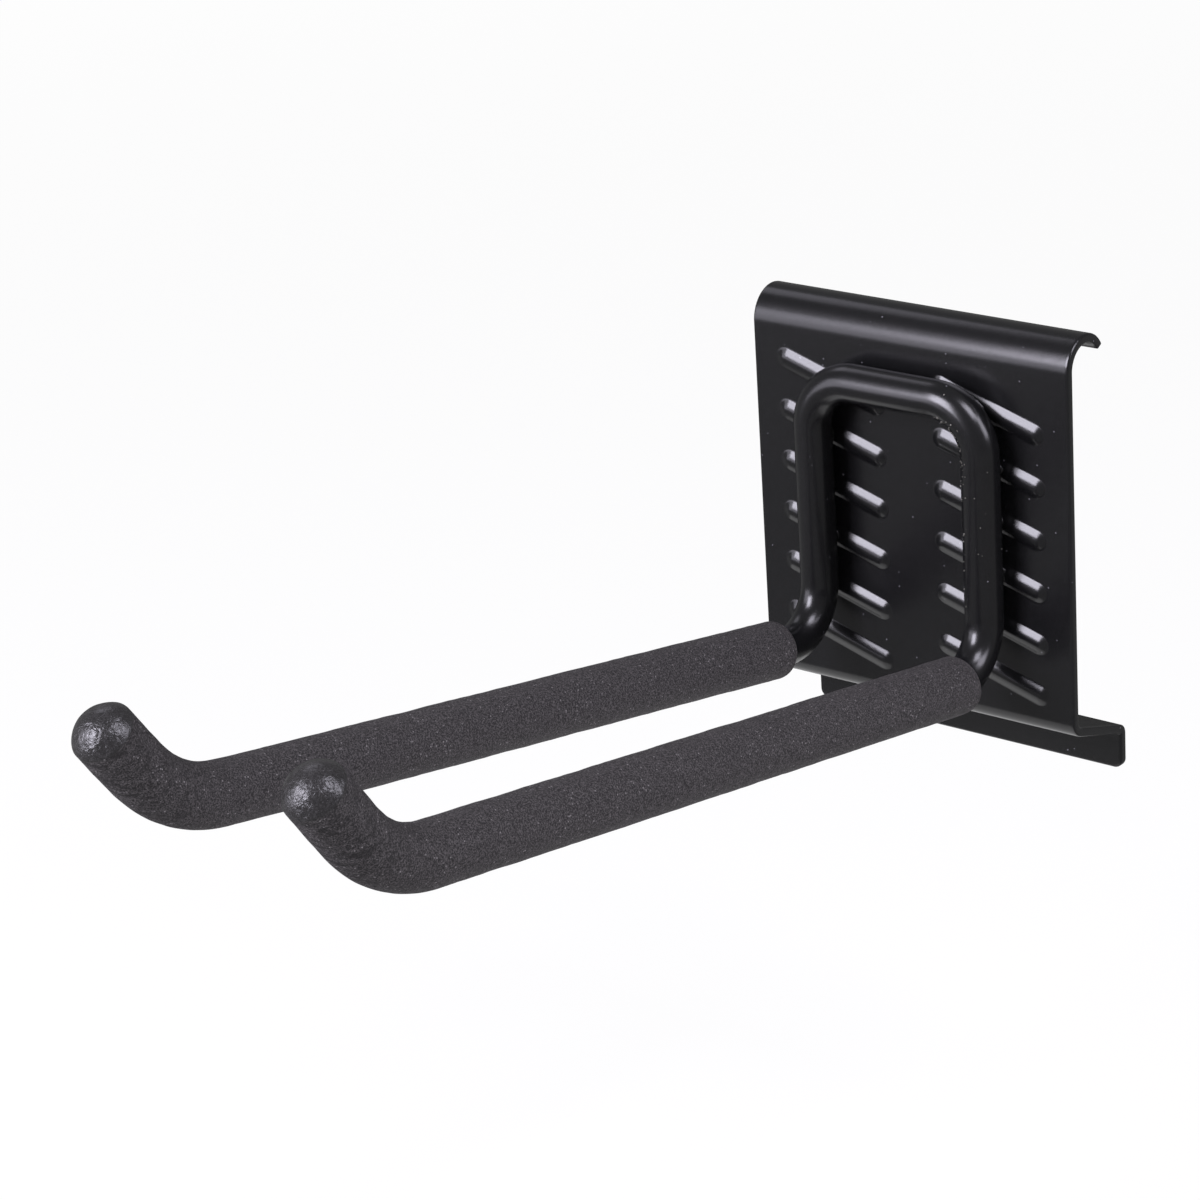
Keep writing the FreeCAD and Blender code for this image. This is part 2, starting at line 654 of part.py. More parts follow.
def make_hook_rod():
    """Bend the rod: the loop's sweep, one arm's sweep and its mirror image."""
    body = make_body("hook_rod")
    loop = loop_path(body)
    doc.recompute()
    section = round_section(body, "loop_section", loop, (LEG_LINE, START), "{rod_radius}")
    sweep(body, "AdditivePipe", "loop", section, loop)

    rise = size("arm_rise")
    end_run = size("tip_straight") + size("dome_height") - size("end_wall")
    path = arm_path(body, "arm_path", UP + rise, "0", end_run, TIP_RUN)
    shift(path, ("-" + ROD_DEPTH, "0", "{leg_spacing} / 2"), Vector(0, 1, 0), "{arm_toe}")
    doc.recompute()
    section = round_section(body, "arm_section", path, (ROOT_ARC, END), "{rod_radius}")
    arm = sweep(body, "AdditivePipe", "arm", section, path)
    pair = body.newObject("PartDesign::Mirrored", "arm_pair")
    pair.Originals = [arm]
    pair.MirrorPlane = (origin_plane(body, "YZ_Plane"), [""])
    body.Tip = pair
    doc.recompute()
    return body


# Foam sleeves


def dome_section(body, path):
    """Draw half of the domed end's section; its upright axis is the tip's own axis."""
    sketch = sketch_across(body, "dome_section", path, (TIP_LINE, END))
    sketch.AttachmentOffset = Placement(Vector(), Rotation(Vector(1, 0, 0), -90))
    radius = size("sleeve_radius")
    height = size("dome_height")
    rim = size("dome_round")
    cap = ((radius - rim) ** 2 + height ** 2 - rim ** 2) / (2 * (height - rim))
    opening = math.degrees(math.atan2(radius - rim, cap - height))

    base = add_line(sketch, Vector(), Vector(radius, 0, 0))
    shoulder = add_arc(sketch, Vector(radius - rim, 0, 0), rim, RIGHT, UP - opening)
    crown = add_arc(sketch, Vector(0, height - cap, 0), cap, UP - opening, UP)
    middle = add_line(sketch, Vector(0, height, 0), Vector())
    fix(sketch, "Coincident", base, START, *ROOT_POINT)
    fix(sketch, "Horizontal", base)
    fix(sketch, "Coincident", base, END, shoulder, START)
    fix(sketch, "PointOnObject", shoulder, CENTRE, LEVEL_AXIS)
    fix(sketch, "Tangent", shoulder, END, crown, START)
    fix(sketch, "Coincident", crown, END, middle, START)
    fix(sketch, "Coincident", middle, END, base, START)
    fix(sketch, "PointOnObject", crown, CENTRE, UPRIGHT_AXIS)
    fix(sketch, "Vertical", middle)
    dimension(sketch, "DistanceX", (base, START, base, END), radius, "{sleeve_radius}")
    dimension(sketch, "DistanceY", (middle, END, middle, START), height, "{dome_height}")
    dimension(sketch, "Radius", (shoulder,), rim, "{dome_round}")
    return sketch


def make_sleeve(name, side):
    """Mould one foam sleeve: outer sweep, domed end, blind bore and rounded rim.

    The body is drawn about the leg's axis and then turned and moved to its arm.
    """
    body = make_body(name)
    body.Placement = Placement(Vector(), Rotation(Vector(0, 0, 1), 1))
    body.setExpression("Placement.Rotation.Angle", cell(f"{side} * {{arm_toe}}"))
    body.setExpression("Placement.Base.x", cell(f"{side} * {{leg_spacing}} / 2"))
    body.setExpression("Placement.Base.y", cell("-" + ROD_DEPTH))

    reach = size("sleeve_reach")
    lean = "{sleeve_reach} - 90 - {arm_rise}"
    skin_run = size("tip_straight")
    skin = arm_path(body, "skin_path", reach, lean, skin_run, "{tip_straight}")
    doc.recompute()
    outer = round_section(body, "skin_section", skin, (ROOT_ARC, END), "{sleeve_radius}")
    sweep(body, "AdditivePipe", "skin", outer, skin)
    dome = body.newObject("PartDesign::Revolution", "dome")
    dome.Profile = dome_section(body, skin)
    dome.ReferenceAxis = (dome.Profile[0], ["V_Axis"])
    dome.Angle = 360
    body.Tip = dome
    doc.recompute()

    bore_run = skin_run + size("dome_height") - size("end_wall")
    bore = arm_path(body, "bore_path", reach, lean, bore_run, TIP_RUN)
    doc.recompute()
    inner = round_section(body, "bore_section", bore, (ROOT_ARC, END), "{rod_radius} + {sleeve_fit}")
    sweep(body, "SubtractivePipe", "bore", inner, bore)

    rear = skin.Placement.multVec(skin.getPoint(ROOT_ARC, END))

    def is_open_rim(edge):
        if edge.Degenerated or type(edge.Curve).__name__ != "Circle":
            return False
        near = (edge.Curve.Center - rear).Length < NEAR
        return near and abs(edge.Curve.Radius - size("sleeve_radius")) < NEAR

    wall = "({sleeve_radius} - {rod_radius} - {sleeve_fit})"
    round_edges(body, "open_rim", is_open_rim, f"min({{sleeve_rim}}; {wall} - {{land}})")
    return body


SIDES = (("left", -1), ("right", 1))


def check_document():
    """Stop if any object of the document failed to build."""
    for item in doc.Objects:
        if "Invalid" in item.State or "Error" in item.State:
            raise RuntimeError(f"{item.Name} failed: {item.getStatusString()}")


def check_piece(body):
    """Stop unless a body holds one valid solid."""
    shape = body.Shape
    if shape.isNull() or not shape.isValid() or len(shape.Solids) != 1:
        raise RuntimeError(f"{body.Label} isn't one valid solid")


def write_pieces(bodies):
    """Write one file for each piece, named by its label."""
    os.makedirs("parts", exist_ok=True)
    for body in bodies:
        body.Shape.exportStep(f"parts/{body.Label}.step")


pieces = [make_back_plate(), make_hook_rod()]
pieces += [make_sleeve(f"foam_sleeve_{name}", side) for name, side in SIDES]
doc.recompute()
check_document()
for piece in pieces:
    check_piece(piece)
write_pieces(pieces)
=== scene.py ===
"""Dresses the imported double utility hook: a stamped plate, a bent rod and two foam sleeves.

Frame: x across the plate, +y into the wall, +z up. Shapes are worked out in millimetres
and turned into metres when their mesh is made.
"""

import logging
import math
from dataclasses import dataclass, field
from enum import Enum

import bmesh
import bpy
import numpy as np
from mathutils import Matrix, Vector


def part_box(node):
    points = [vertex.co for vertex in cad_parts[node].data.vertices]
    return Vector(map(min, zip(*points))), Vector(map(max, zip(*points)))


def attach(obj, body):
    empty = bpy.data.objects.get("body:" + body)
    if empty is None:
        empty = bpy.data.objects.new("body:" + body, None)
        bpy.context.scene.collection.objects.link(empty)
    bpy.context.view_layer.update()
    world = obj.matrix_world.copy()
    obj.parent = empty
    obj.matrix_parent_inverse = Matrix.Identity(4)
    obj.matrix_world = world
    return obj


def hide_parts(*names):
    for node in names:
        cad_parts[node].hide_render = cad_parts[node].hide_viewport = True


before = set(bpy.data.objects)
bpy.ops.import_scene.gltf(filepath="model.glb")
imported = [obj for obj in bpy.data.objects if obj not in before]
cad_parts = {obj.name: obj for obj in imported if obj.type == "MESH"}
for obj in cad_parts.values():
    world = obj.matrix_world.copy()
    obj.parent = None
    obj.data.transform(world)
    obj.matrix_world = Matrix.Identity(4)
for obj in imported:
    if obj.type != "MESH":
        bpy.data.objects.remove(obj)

LOG = logging.getLogger("utility_hook")
METRE = 0.001
X_AXIS = np.array([1.0, 0.0, 0.0])
Y_AXIS = np.array([0.0, 1.0, 0.0])
Z_AXIS = np.array([0.0, 0.0, 1.0])
# Factor that turns the right half of the object into the left one.
MIRROR = np.array([-1.0, 1.0, 1.0])


class Slot(Enum):
    """The record's material slots."""

    POWDER_COAT = "powder_coat"
    FOAM = "foam"


class Side(Enum):
    """The two arms, by the sign of x."""

    LEFT = -1
    RIGHT = 1


def add_object(name: str, data: bpy.types.ID) -> bpy.types.Object:
    """Put a mesh, a light or a camera into the scene.

    Args:
        name: the new object's name.
        data: the mesh, light or camera data.

    Returns:
        The new object.
    """
    added = bpy.data.objects.new(name, data)
    bpy.context.scene.collection.objects.link(added)
    return added


# Materials


def linear(colour: str) -> tuple[float, float, float, float]:
    """Turn an sRGB hex colour into a linear one.

    Args:
        colour: six hex digits after a hash.

    Returns:
        Red, green, blue and an alpha of 1.
    """
    parts = [int(colour[i : i + 2], 16) / 255 for i in (1, 3, 5)]
    red, green, blue = (p / 12.92 if p <= 0.04045 else ((p + 0.055) / 1.055) ** 2.4 for p in parts)
    return red, green, blue, 1.0


def add_node(
    tree: bpy.types.NodeTree,
    kind: str,
    values: dict[str | int, object] | None = None,
    links: dict[str | int, bpy.types.NodeSocket] | None = None,
    **settings: object,
) -> bpy.types.Node:
    """Add a node with its settings, its input values and the links into it.

    Args:
        tree: the node tree that gets the node.
        kind: the node's type name.
        values: input values by socket name or number.
        links: output sockets of other nodes by input socket.
        settings: properties of the node itself.

    Returns:
        The new node.
    """
    node = tree.nodes.new(kind)
    for name, value in settings.items():
        setattr(node, name, value)
    for socket, value in (values or {}).items():
        node.inputs[socket].default_value = value
    for socket, source in (links or {}).items():
        tree.links.new(source, node.inputs[socket])
    return node


def new_material(name: str) -> tuple[bpy.types.Material, bpy.types.NodeTree]:
    """Make an empty node material.

    Args:
        name: the new material's name.

    Returns:
        The material and its node tree.
    """
    material = bpy.data.materials.new(name)
    material.use_nodes = True
    material.node_tree.nodes.clear()
    return material, material.node_tree


def per_metre(millimetres: float) -> float:
    """Turn the size of a pattern's feature into a texture scale on metres."""
    return 1 / (millimetres * METRE)


@dataclass(frozen=True)
class PowderCoat:
    """Polyester powder coat, sprayed on bent steel and baked.

    To the eye: an even near-black film with a satin gloss, a faint orange peel of about
    2 mm, a fine tooth that softens the lamps' reflections, and a few grains of pale dust.
    The tooth is some 0.05 mm wide in truth, and is drawn coarser so that it shows.
    """

    name: str = "powder_coated_steel"
    film: str = "#0d0d0e"
    film_thin: str = "#121213"
    dust: str = "#66656b"
    roughness: float = 0.24
    roughness_spread: float = 0.05
    specular: float = 0.5
    peel_mm: float = 2.2
    peel_depth_mm: float = 0.012
    tooth_mm: float = 0.28
    tooth_depth_mm: float = 0.004
    dust_spacing_mm: float = 1.9
    dust_radius_mm: float = 0.18
    dust_share: float = 0.3

    def make(self) -> bpy.types.Material:
        """Build the node material.

        Returns:
            The new material.
        """
        material, tree = new_material(self.name)
        place = add_node(tree, "ShaderNodeTexCoord").outputs["Object"]
        peel = add_node(
            tree,
            "ShaderNodeTexNoise",
            {"Scale": per_metre(self.peel_mm), "Detail": 2.0, "Roughness": 0.45},
            {"Vector": place},
        )
        tooth = add_node(
            tree,
            "ShaderNodeTexNoise",
            {"Scale": per_metre(self.tooth_mm), "Detail": 3.0, "Roughness": 0.6},
            {"Vector": place},
        )
        dusty = self.dust_grains(tree, place)
        film = add_node(
            tree,
            "ShaderNodeMix",
            {6: linear(self.film), 7: linear(self.film_thin)},
            {0: peel.outputs["Fac"]},
            data_type="RGBA",
        )
        colour = add_node(
            tree,
            "ShaderNodeMix",
            {7: linear(self.dust)},
            {0: dusty, 6: film.outputs[2]},
            data_type="RGBA",
        )
        gloss = add_node(
            tree,
            "ShaderNodeMapRange",
            {
                "To Min": self.roughness - self.roughness_spread,
                "To Max": self.roughness + self.roughness_spread,
            },
            {"Value": tooth.outputs["Fac"]},
        )
        tooth_bump = add_node(
            tree,
            "ShaderNodeBump",
            {"Strength": 1.0, "Distance": self.tooth_depth_mm * METRE},
            {"Height": tooth.outputs["Fac"]},
        )
        peel_bump = add_node(
            tree,
            "ShaderNodeBump",
            {"Strength": 1.0, "Distance": self.peel_depth_mm * METRE},
            {"Height": peel.outputs["Fac"], "Normal": tooth_bump.outputs["Normal"]},
        )
        shader = add_node(
            tree,
            "ShaderNodeBsdfPrincipled",
            {"IOR": 1.5, "Specular IOR Level": self.specular},
            {
                "Base Color": colour.outputs[2],
                "Roughness": gloss.outputs["Result"],
                "Normal": peel_bump.outputs["Normal"],
            },
        )
        add_node(tree, "ShaderNodeOutputMaterial", links={"Surface": shader.outputs["BSDF"]})
        return material

    def dust_grains(
        self, tree: bpy.types.NodeTree, place: bpy.types.NodeSocket
    ) -> bpy.types.NodeSocket:
        """Mark round grains in a few cells of a Voronoi pattern, each with its own size.

        Args:
            tree: the material's node tree.
            place: the socket that gives the point on the object.

        Returns:
            A socket that is 1 on a grain and 0 beside it.
        """
        grains = add_node(
            tree,
            "ShaderNodeTexVoronoi",
            {"Scale": per_metre(self.dust_spacing_mm)},
            {"Vector": place},
        )
        lots = add_node(tree, "ShaderNodeSeparateColor", links={"Color": grains.outputs["Color"]})
        reach = add_node(
            tree,
            "ShaderNodeMath",
            {1: self.dust_radius_mm / self.dust_spacing_mm},
            {0: lots.outputs["Green"]},
            operation="MULTIPLY",
        )
        near = add_node(
            tree,
            "ShaderNodeMath",
            links={0: grains.outputs["Distance"], 1: reach.outputs[0]},
            operation="LESS_THAN",
        )
        chosen = add_node(
            tree,
            "ShaderNodeMath",
            {1: self.dust_share},
            {0: lots.outputs["Red"]},
            operation="LESS_THAN",
        )
        return add_node(
            tree,
            "ShaderNodeMath",
            links={0: near.outputs[0], 1: chosen.outputs[0]},
            operation="MULTIPLY",
        ).outputs[0]


@dataclass(frozen=True)
class SpatterSteel:
    """Mild steel thrown from the weld, set as drops and rubbed bare of the coat.

    To the eye: pale, warm-grey specks with a dull shine.
    """

    name: str = "bare_weld_spatter"
    steel: str = "#8d8a84"
    roughness: float = 0.45

    def make(self) -> bpy.types.Material:
        """Build the node material.

        Returns:
            The new material.
        """
        material, tree = new_material(self.name)
        values = {
            "Base Color": linear(self.steel),
            "Metallic": 1.0,
            "Roughness": self.roughness,
        }
        shader = add_node(tree, "ShaderNodeBsdfPrincipled", values)
        add_node(tree, "ShaderNodeOutputMaterial", links={"Surface": shader.outputs["BSDF"]})
        return material


@dataclass(frozen=True)
class FoamSkin:
    """Closed-cell nitrile foam tube, extruded, with the skin that the die leaves.

    To the eye: matt charcoal with a grain under half a millimetre, pale burst cells in
    loose drifts, and leathery creases round the tip, with painted shade in their valleys.
    Hot-formed, as on the closed end, the same foam has a dense skin with a wet gloss. The
    cells are some 0.1 mm wide in truth, and are drawn coarser so that they show.
    """

    name: str = "extruded_nitrile_foam"
    skin: str = "#393737"
    pit: str = "#232222"
    cell: str = "#555252"
    burst: str = "#827f7f"
    roughness: float = 0.7
    formed_roughness: float = 0.24
    specular: float = 0.18
    grain_mm: float = 0.3
    grain_depth_mm: float = 0.05
    grain_stops: tuple[float, float, float] = (0.38, 0.5, 0.64)
    burst_mm: float = 0.75
    burst_radius_mm: float = 0.15
    burst_rim: tuple[float, float] = (1.3, 0.5)
    burst_share: tuple[float, float] = (0.04, 0.5)
    drift_mm: float = 7.0
    drift_stops: tuple[float, float] = (0.4, 0.68)
    crease_mm: float = 0.9
    crease_length_mm: float = 2.7
    crease_depth_mm: float = 0.38
    # Painted shade: crease valleys are darkened toward the pit colour, as far as this share.
    painted_shade_stops: tuple[float, float] = (0.56, 0.36)
    painted_crease_shade: float = 0.8

    def make(self) -> bpy.types.Material:
        """Build the node material.

        Returns:
            The new material.
        """
        material, tree = new_material(self.name)
        place = add_node(tree, "ShaderNodeTexCoord").outputs["Object"]
        grain = add_node(
            tree,
            "ShaderNodeTexNoise",
            {"Scale": per_metre(self.grain_mm), "Detail": 3.0, "Roughness": 0.6},
            {"Vector": place},
        )
        drift = add_node(
            tree,
            "ShaderNodeTexNoise",
            {"Scale": per_metre(self.drift_mm), "Detail": 3.0, "Roughness": 0.55},
            {"Vector": place},
        )
        crease = self.streaks(tree, place)
        ramp = add_node(tree, "ShaderNodeValToRGB", links={"Fac": grain.outputs["Fac"]})
        elements = ramp.color_ramp.elements
        elements.new(self.grain_stops[1])
        grain_colours = (self.pit, self.skin, self.cell)
        for element, position, grain_colour in zip(elements, self.grain_stops, grain_colours):
            element.position = position
            element.color = linear(grain_colour)
        speckled = add_node(
            tree,
            "ShaderNodeMix",
            {7: linear(self.burst)},
            {0: self.burst_cells(tree, place, drift.outputs["Fac"]), 6: ramp.outputs["Color"]},
            data_type="RGBA",
        )
        formed = add_node(tree, "ShaderNodeAttribute", attribute_name="formed")
        creases_and_painted_shade = add_node(tree, "ShaderNodeAttribute", attribute_name="creases_and_painted_shade")
        # Painted shade: the colour darkens toward the pit colour in the crease valleys, scaled by
        # the crease mask.
        painted_shade_ramp = add_node(
            tree,
            "ShaderNodeMapRange",
            {
                "From Min": self.painted_shade_stops[0],
                "From Max": self.painted_shade_stops[1],
                "To Max": self.painted_crease_shade,
            },
            {"Value": crease},
        )
        crease_painted_shade = add_node(
            tree,
            "ShaderNodeMath",
            links={0: painted_shade_ramp.outputs["Result"], 1: creases_and_painted_shade.outputs["Fac"]},
            operation="MULTIPLY",
        )
        # Mixes the painted crease shade into the grain and burst colour.
        colour = add_node(
            tree,
            "ShaderNodeMix",
            {7: linear(self.pit)},
            {0: crease_painted_shade.outputs[0], 6: speckled.outputs[2]},
            data_type="RGBA",
        )
        gloss = add_node(
            tree,
            "ShaderNodeMapRange",
            {"To Min": self.roughness, "To Max": self.formed_roughness},
            {"Value": formed.outputs["Fac"]},
        )
        folds = add_node(
            tree,
            "ShaderNodeMath",
            links={0: crease, 1: creases_and_painted_shade.outputs["Fac"]},
            operation="MULTIPLY",
        )
        grain_bump = add_node(
            tree,
            "ShaderNodeBump",
            {"Strength": 1.0, "Distance": self.grain_depth_mm * METRE},
            {"Height": grain.outputs["Fac"]},
        )
        crease_bump = add_node(
            tree,
            "ShaderNodeBump",
            {"Strength": 1.0, "Distance": self.crease_depth_mm * METRE},
            {"Height": folds.outputs[0], "Normal": grain_bump.outputs["Normal"]},
        )
        shader = add_node(
            tree,
            "ShaderNodeBsdfPrincipled",
            {"IOR": 1.5, "Specular IOR Level": self.specular},
            {
                "Base Color": colour.outputs[2],
                "Roughness": gloss.outputs["Result"],
                "Normal": crease_bump.outputs["Normal"],
            },
        )
        add_node(tree, "ShaderNodeOutputMaterial", links={"Surface": shader.outputs["BSDF"]})
        return material

    @classmethod
    def hot_formed(cls) -> "FoamSkin":
        """The foam's finish on the closed end: denser, so that it mirrors more."""
        return cls(
            name="hot_formed_nitrile_foam",
            skin="#2a2929",
            pit="#201f1f",
            cell="#353434",
            burst="#3a3939",
            specular=0.5,
            grain_depth_mm=0.02,
            crease_mm=1.1,
            crease_length_mm=1.1,
            crease_depth_mm=0.26,
        )

    def streaks(
        self, tree: bpy.types.NodeTree, place: bpy.types.NodeSocket
    ) -> bpy.types.NodeSocket:
        """Draw creases that lie across the arm.

        Formula: a noise of the point over the creases' length, shifted by the run along
        the arm over their width less that over their length, so that it changes fast
        along and slowly round. With both alike it is even in all directions.

        Args:
            tree: the material's node tree.
            place: the socket that gives the point on the object.

        Returns:
            A socket that is low in a crease and high between creases.
        """
        along = add_node(tree, "ShaderNodeAttribute", attribute_name="along")
        spread = add_node(
            tree,
            "ShaderNodeVectorMath",
            {1: (per_metre(self.crease_length_mm),) * 3},
            {0: place},
            operation="MULTIPLY",
        )
        run = add_node(
            tree,
            "ShaderNodeMath",
            {1: per_metre(self.crease_mm) - per_metre(self.crease_length_mm)},
            {0: along.outputs["Fac"]},
            operation="MULTIPLY",
        )
        shift = add_node(tree, "ShaderNodeCombineXYZ", links={"X": run.outputs[0]})
        point = add_node(
            tree,
            "ShaderNodeVectorMath",
            links={0: spread.outputs[0], 1: shift.outputs[0]},
            operation="ADD",
        )
        return add_node(
            tree,
            "ShaderNodeTexNoise",
            {"Scale": 1.0, "Detail": 3.0, "Roughness": 0.55, "Distortion": 0.9},
            {"Vector": point.outputs[0]},
        ).outputs["Fac"]

    def burst_cells(
        self,
        tree: bpy.types.NodeTree,
        place: bpy.types.NodeSocket,
        drift: bpy.types.NodeSocket,
    ) -> bpy.types.NodeSocket:
        """Mark pale burst cells, thick where the drift is high and few where it is low.

        Args:
            tree: the material's node tree.
            place: the socket that gives the point on the object.
            drift: the socket of the slow noise that gathers the cells.

        Returns:
            A socket that is near 1 on a burst cell and 0 beside it.
        """
        cells = add_node(
            tree, "ShaderNodeTexVoronoi", {"Scale": per_metre(self.burst_mm)}, {"Vector": place}
        )
        lots = add_node(tree, "ShaderNodeSeparateColor", links={"Color": cells.outputs["Color"]})
        share = add_node(
            tree,
            "ShaderNodeMapRange",
            {
                "From Min": self.drift_stops[0],
                "From Max": self.drift_stops[1],
                "To Min": self.burst_share[0],
                "To Max": self.burst_share[1],
            },
            {"Value": drift},
        )
        chosen = add_node(
            tree,
            "ShaderNodeMath",
            links={0: lots.outputs["Red"], 1: share.outputs["Result"]},
            operation="LESS_THAN",
        )
        reach = self.burst_radius_mm / self.burst_mm
        near = add_node(
            tree,
            "ShaderNodeMapRange",
            {"From Min": reach * self.burst_rim[0], "From Max": reach * self.burst_rim[1]},
            {"Value": cells.outputs["Distance"]},
        )
        return add_node(
            tree,
            "ShaderNodeMath",
            links={0: near.outputs["Result"], 1: chosen.outputs[0]},
            operation="MULTIPLY",
        ).outputs[0]


# Shapes


def turned(vectors: np.ndarray, axis: np.ndarray, angles: np.ndarray) -> np.ndarray:
    """Turn vectors about a unit axis, each by its own angle.

    Formula: v cos(a) + (axis x v) sin(a) + axis (axis . v) (1 - cos(a)).

    Args:
        vectors: one vector, or one for each angle.
        axis: unit vector of the axis.
        angles: angles in radians.

    Returns:
        One turned vector for each angle.
    """
    cosine, sine = np.cos(angles)[:, None], np.sin(angles)[:, None]
    along = np.sum(vectors * axis, axis=-1, keepdims=True)
    return vectors * cosine + np.cross(axis, vectors) * sine + axis * along * (1 - cosine)


@dataclass(frozen=True)
class Move:
    """One stretch of a bent line: a straight run, or an arc where radius is over 0."""

    length: float = 0.0
    radius: float = 0.0
    degrees: float = 0.0
    axis: tuple[float, float, float] = (1.0, 0.0, 0.0)

    @property
    def run(self) -> float:
        """Length along the stretch."""
        return self.length if self.radius == 0 else self.radius * math.radians(abs(self.degrees))


class BentLine:
    """A line of straight runs and arcs in space, measured by the run along it."""

    def __init__(self, start: np.ndarray, heading: np.ndarray, moves: list[Move]) -> None:
        """Lay the moves end to end.

        Args:
            start: first point.
            heading: unit vector in which the line leaves it.
            moves: stretches in order; an arc turns about its axis by the right-hand rule.
        """
        self.moves = moves
        self.marks = np.concatenate([[0.0], np.cumsum([move.run for move in moves])])
        self.starts = [np.asarray(start, float)]
        self.headings = [np.asarray(heading, float)]
        for number, move in enumerate(moves):
            point, direction = self._stretch(number, np.array([move.run]))
            self.starts.append(point[0])
            self.headings.append(direction[0])

    def _stretch(self, number: int, run: np.ndarray) -> tuple[np.ndarray, np.ndarray]:
        """Points and directions at runs measured from the start of one stretch.

        Formula: start + run x heading on a straight; on an arc the radius vector and the
        heading both turn about the axis by run / radius.

        Args:
            number: which stretch.
            run: distances along it.

        Returns:
            Points and unit directions, one row for each run.
        """
        move, start, heading = self.moves[number], self.starts[number], self.headings[number]
        if move.radius == 0:
            return start + run[:, None] * heading, np.broadcast_to(heading, (len(run), 3))
        axis = np.array(move.axis) * math.copysign(1, move.degrees)
        inward = np.cross(axis, heading)
        centre = start + move.radius * inward
        angles = run / move.radius
        spoke = np.broadcast_to(-move.radius * inward, (len(run), 3))
        tangent = np.broadcast_to(heading, (len(run), 3))
        return centre + turned(spoke, axis, angles), turned(tangent, axis, angles)

    def at(self, run: np.ndarray) -> tuple[np.ndarray, np.ndarray]:
        """Points and unit directions at runs from the line's start.

        Args:
            run: distances along the line.

        Returns:
            Points and directions, one row for each run.
        """
        points, directions = np.empty((len(run), 3)), np.empty((len(run), 3))
        last = len(self.moves) - 1
        stretch = np.clip(np.searchsorted(self.marks, run, side="right") - 1, 0, last)
        for number in range(last + 1):
            chosen = stretch == number
            found = self._stretch(number, run[chosen] - self.marks[number])
            points[chosen], directions[chosen] = found
        return points, directions


def spokes_round(directions: np.ndarray, sides: int) -> np.ndarray:
    """Unit vectors round a line, square to it, one ring for each direction.

    Formula: n cos(a) + b sin(a), where n is what is left of a slanted reference vector
    square to the line, and b is the direction crossed with n.

    Args:
        directions: unit direction of the line at each ring.
        sides: points round a ring; the first is repeated at its end.

    Returns:
        A grid of unit vectors, rings by sides + 1.
    """
    reference = np.array([1.0, 1.0, 0.0]) / math.sqrt(2)
    normal = reference - np.sum(directions * reference, axis=1, keepdims=True) * directions
    normal /= np.linalg.norm(normal, axis=1, keepdims=True)
    second = np.cross(directions, normal)
    angle = np.linspace(0, 2 * math.pi, sides + 1)[None, :, None]
    return normal[:, None] * np.cos(angle) + second[:, None] * np.sin(angle)


def soft_noise(points: np.ndarray, wave: float, seed: int) -> np.ndarray:
    """Smooth random value at each point, from -1 to 1.

    Formula: random numbers on the corners of cubes as wide as the wave, blended inside
    each cube with 3t^2 - 2t^3 along each axis.

    Args:
        points: array whose last axis is x, y, z.
        wave: size of a cube.
        seed: picks another random field.

    Returns:
        One value for each point.
    """
    cell = points / wave
    base = np.floor(cell)
    blend = (cell - base) ** 2 * (3 - 2 * (cell - base))
    total = np.zeros(points.shape[:-1])
    for corner in np.ndindex(2, 2, 2):
        key = (base + corner) @ np.array([127.1, 311.7, 74.7]) + 53.3 * seed
        value = 2 * np.mod(np.sin(key) * 43758.5453, 1.0) - 1
        share = np.prod(np.where(np.array(corner) == 1, blend, 1 - blend), axis=-1)
        total += value * share
    return total


def grid_faces(rows: int, columns: int, first: int = 0) -> np.ndarray:
    """Corner numbers of the faces between the points of a grid.

    Args:
        rows: rows of points.
        columns: points in a row.
        first: number of the grid's first point.

    Returns:
        An array of faces by 4.
    """
    index = first + np.arange(rows * columns).reshape(rows, columns)
    corners = (index[:-1, :-1], index[1:, :-1], index[1:, 1:], index[:-1, 1:])
    return np.stack(corners, axis=-1).reshape(-1, 4)


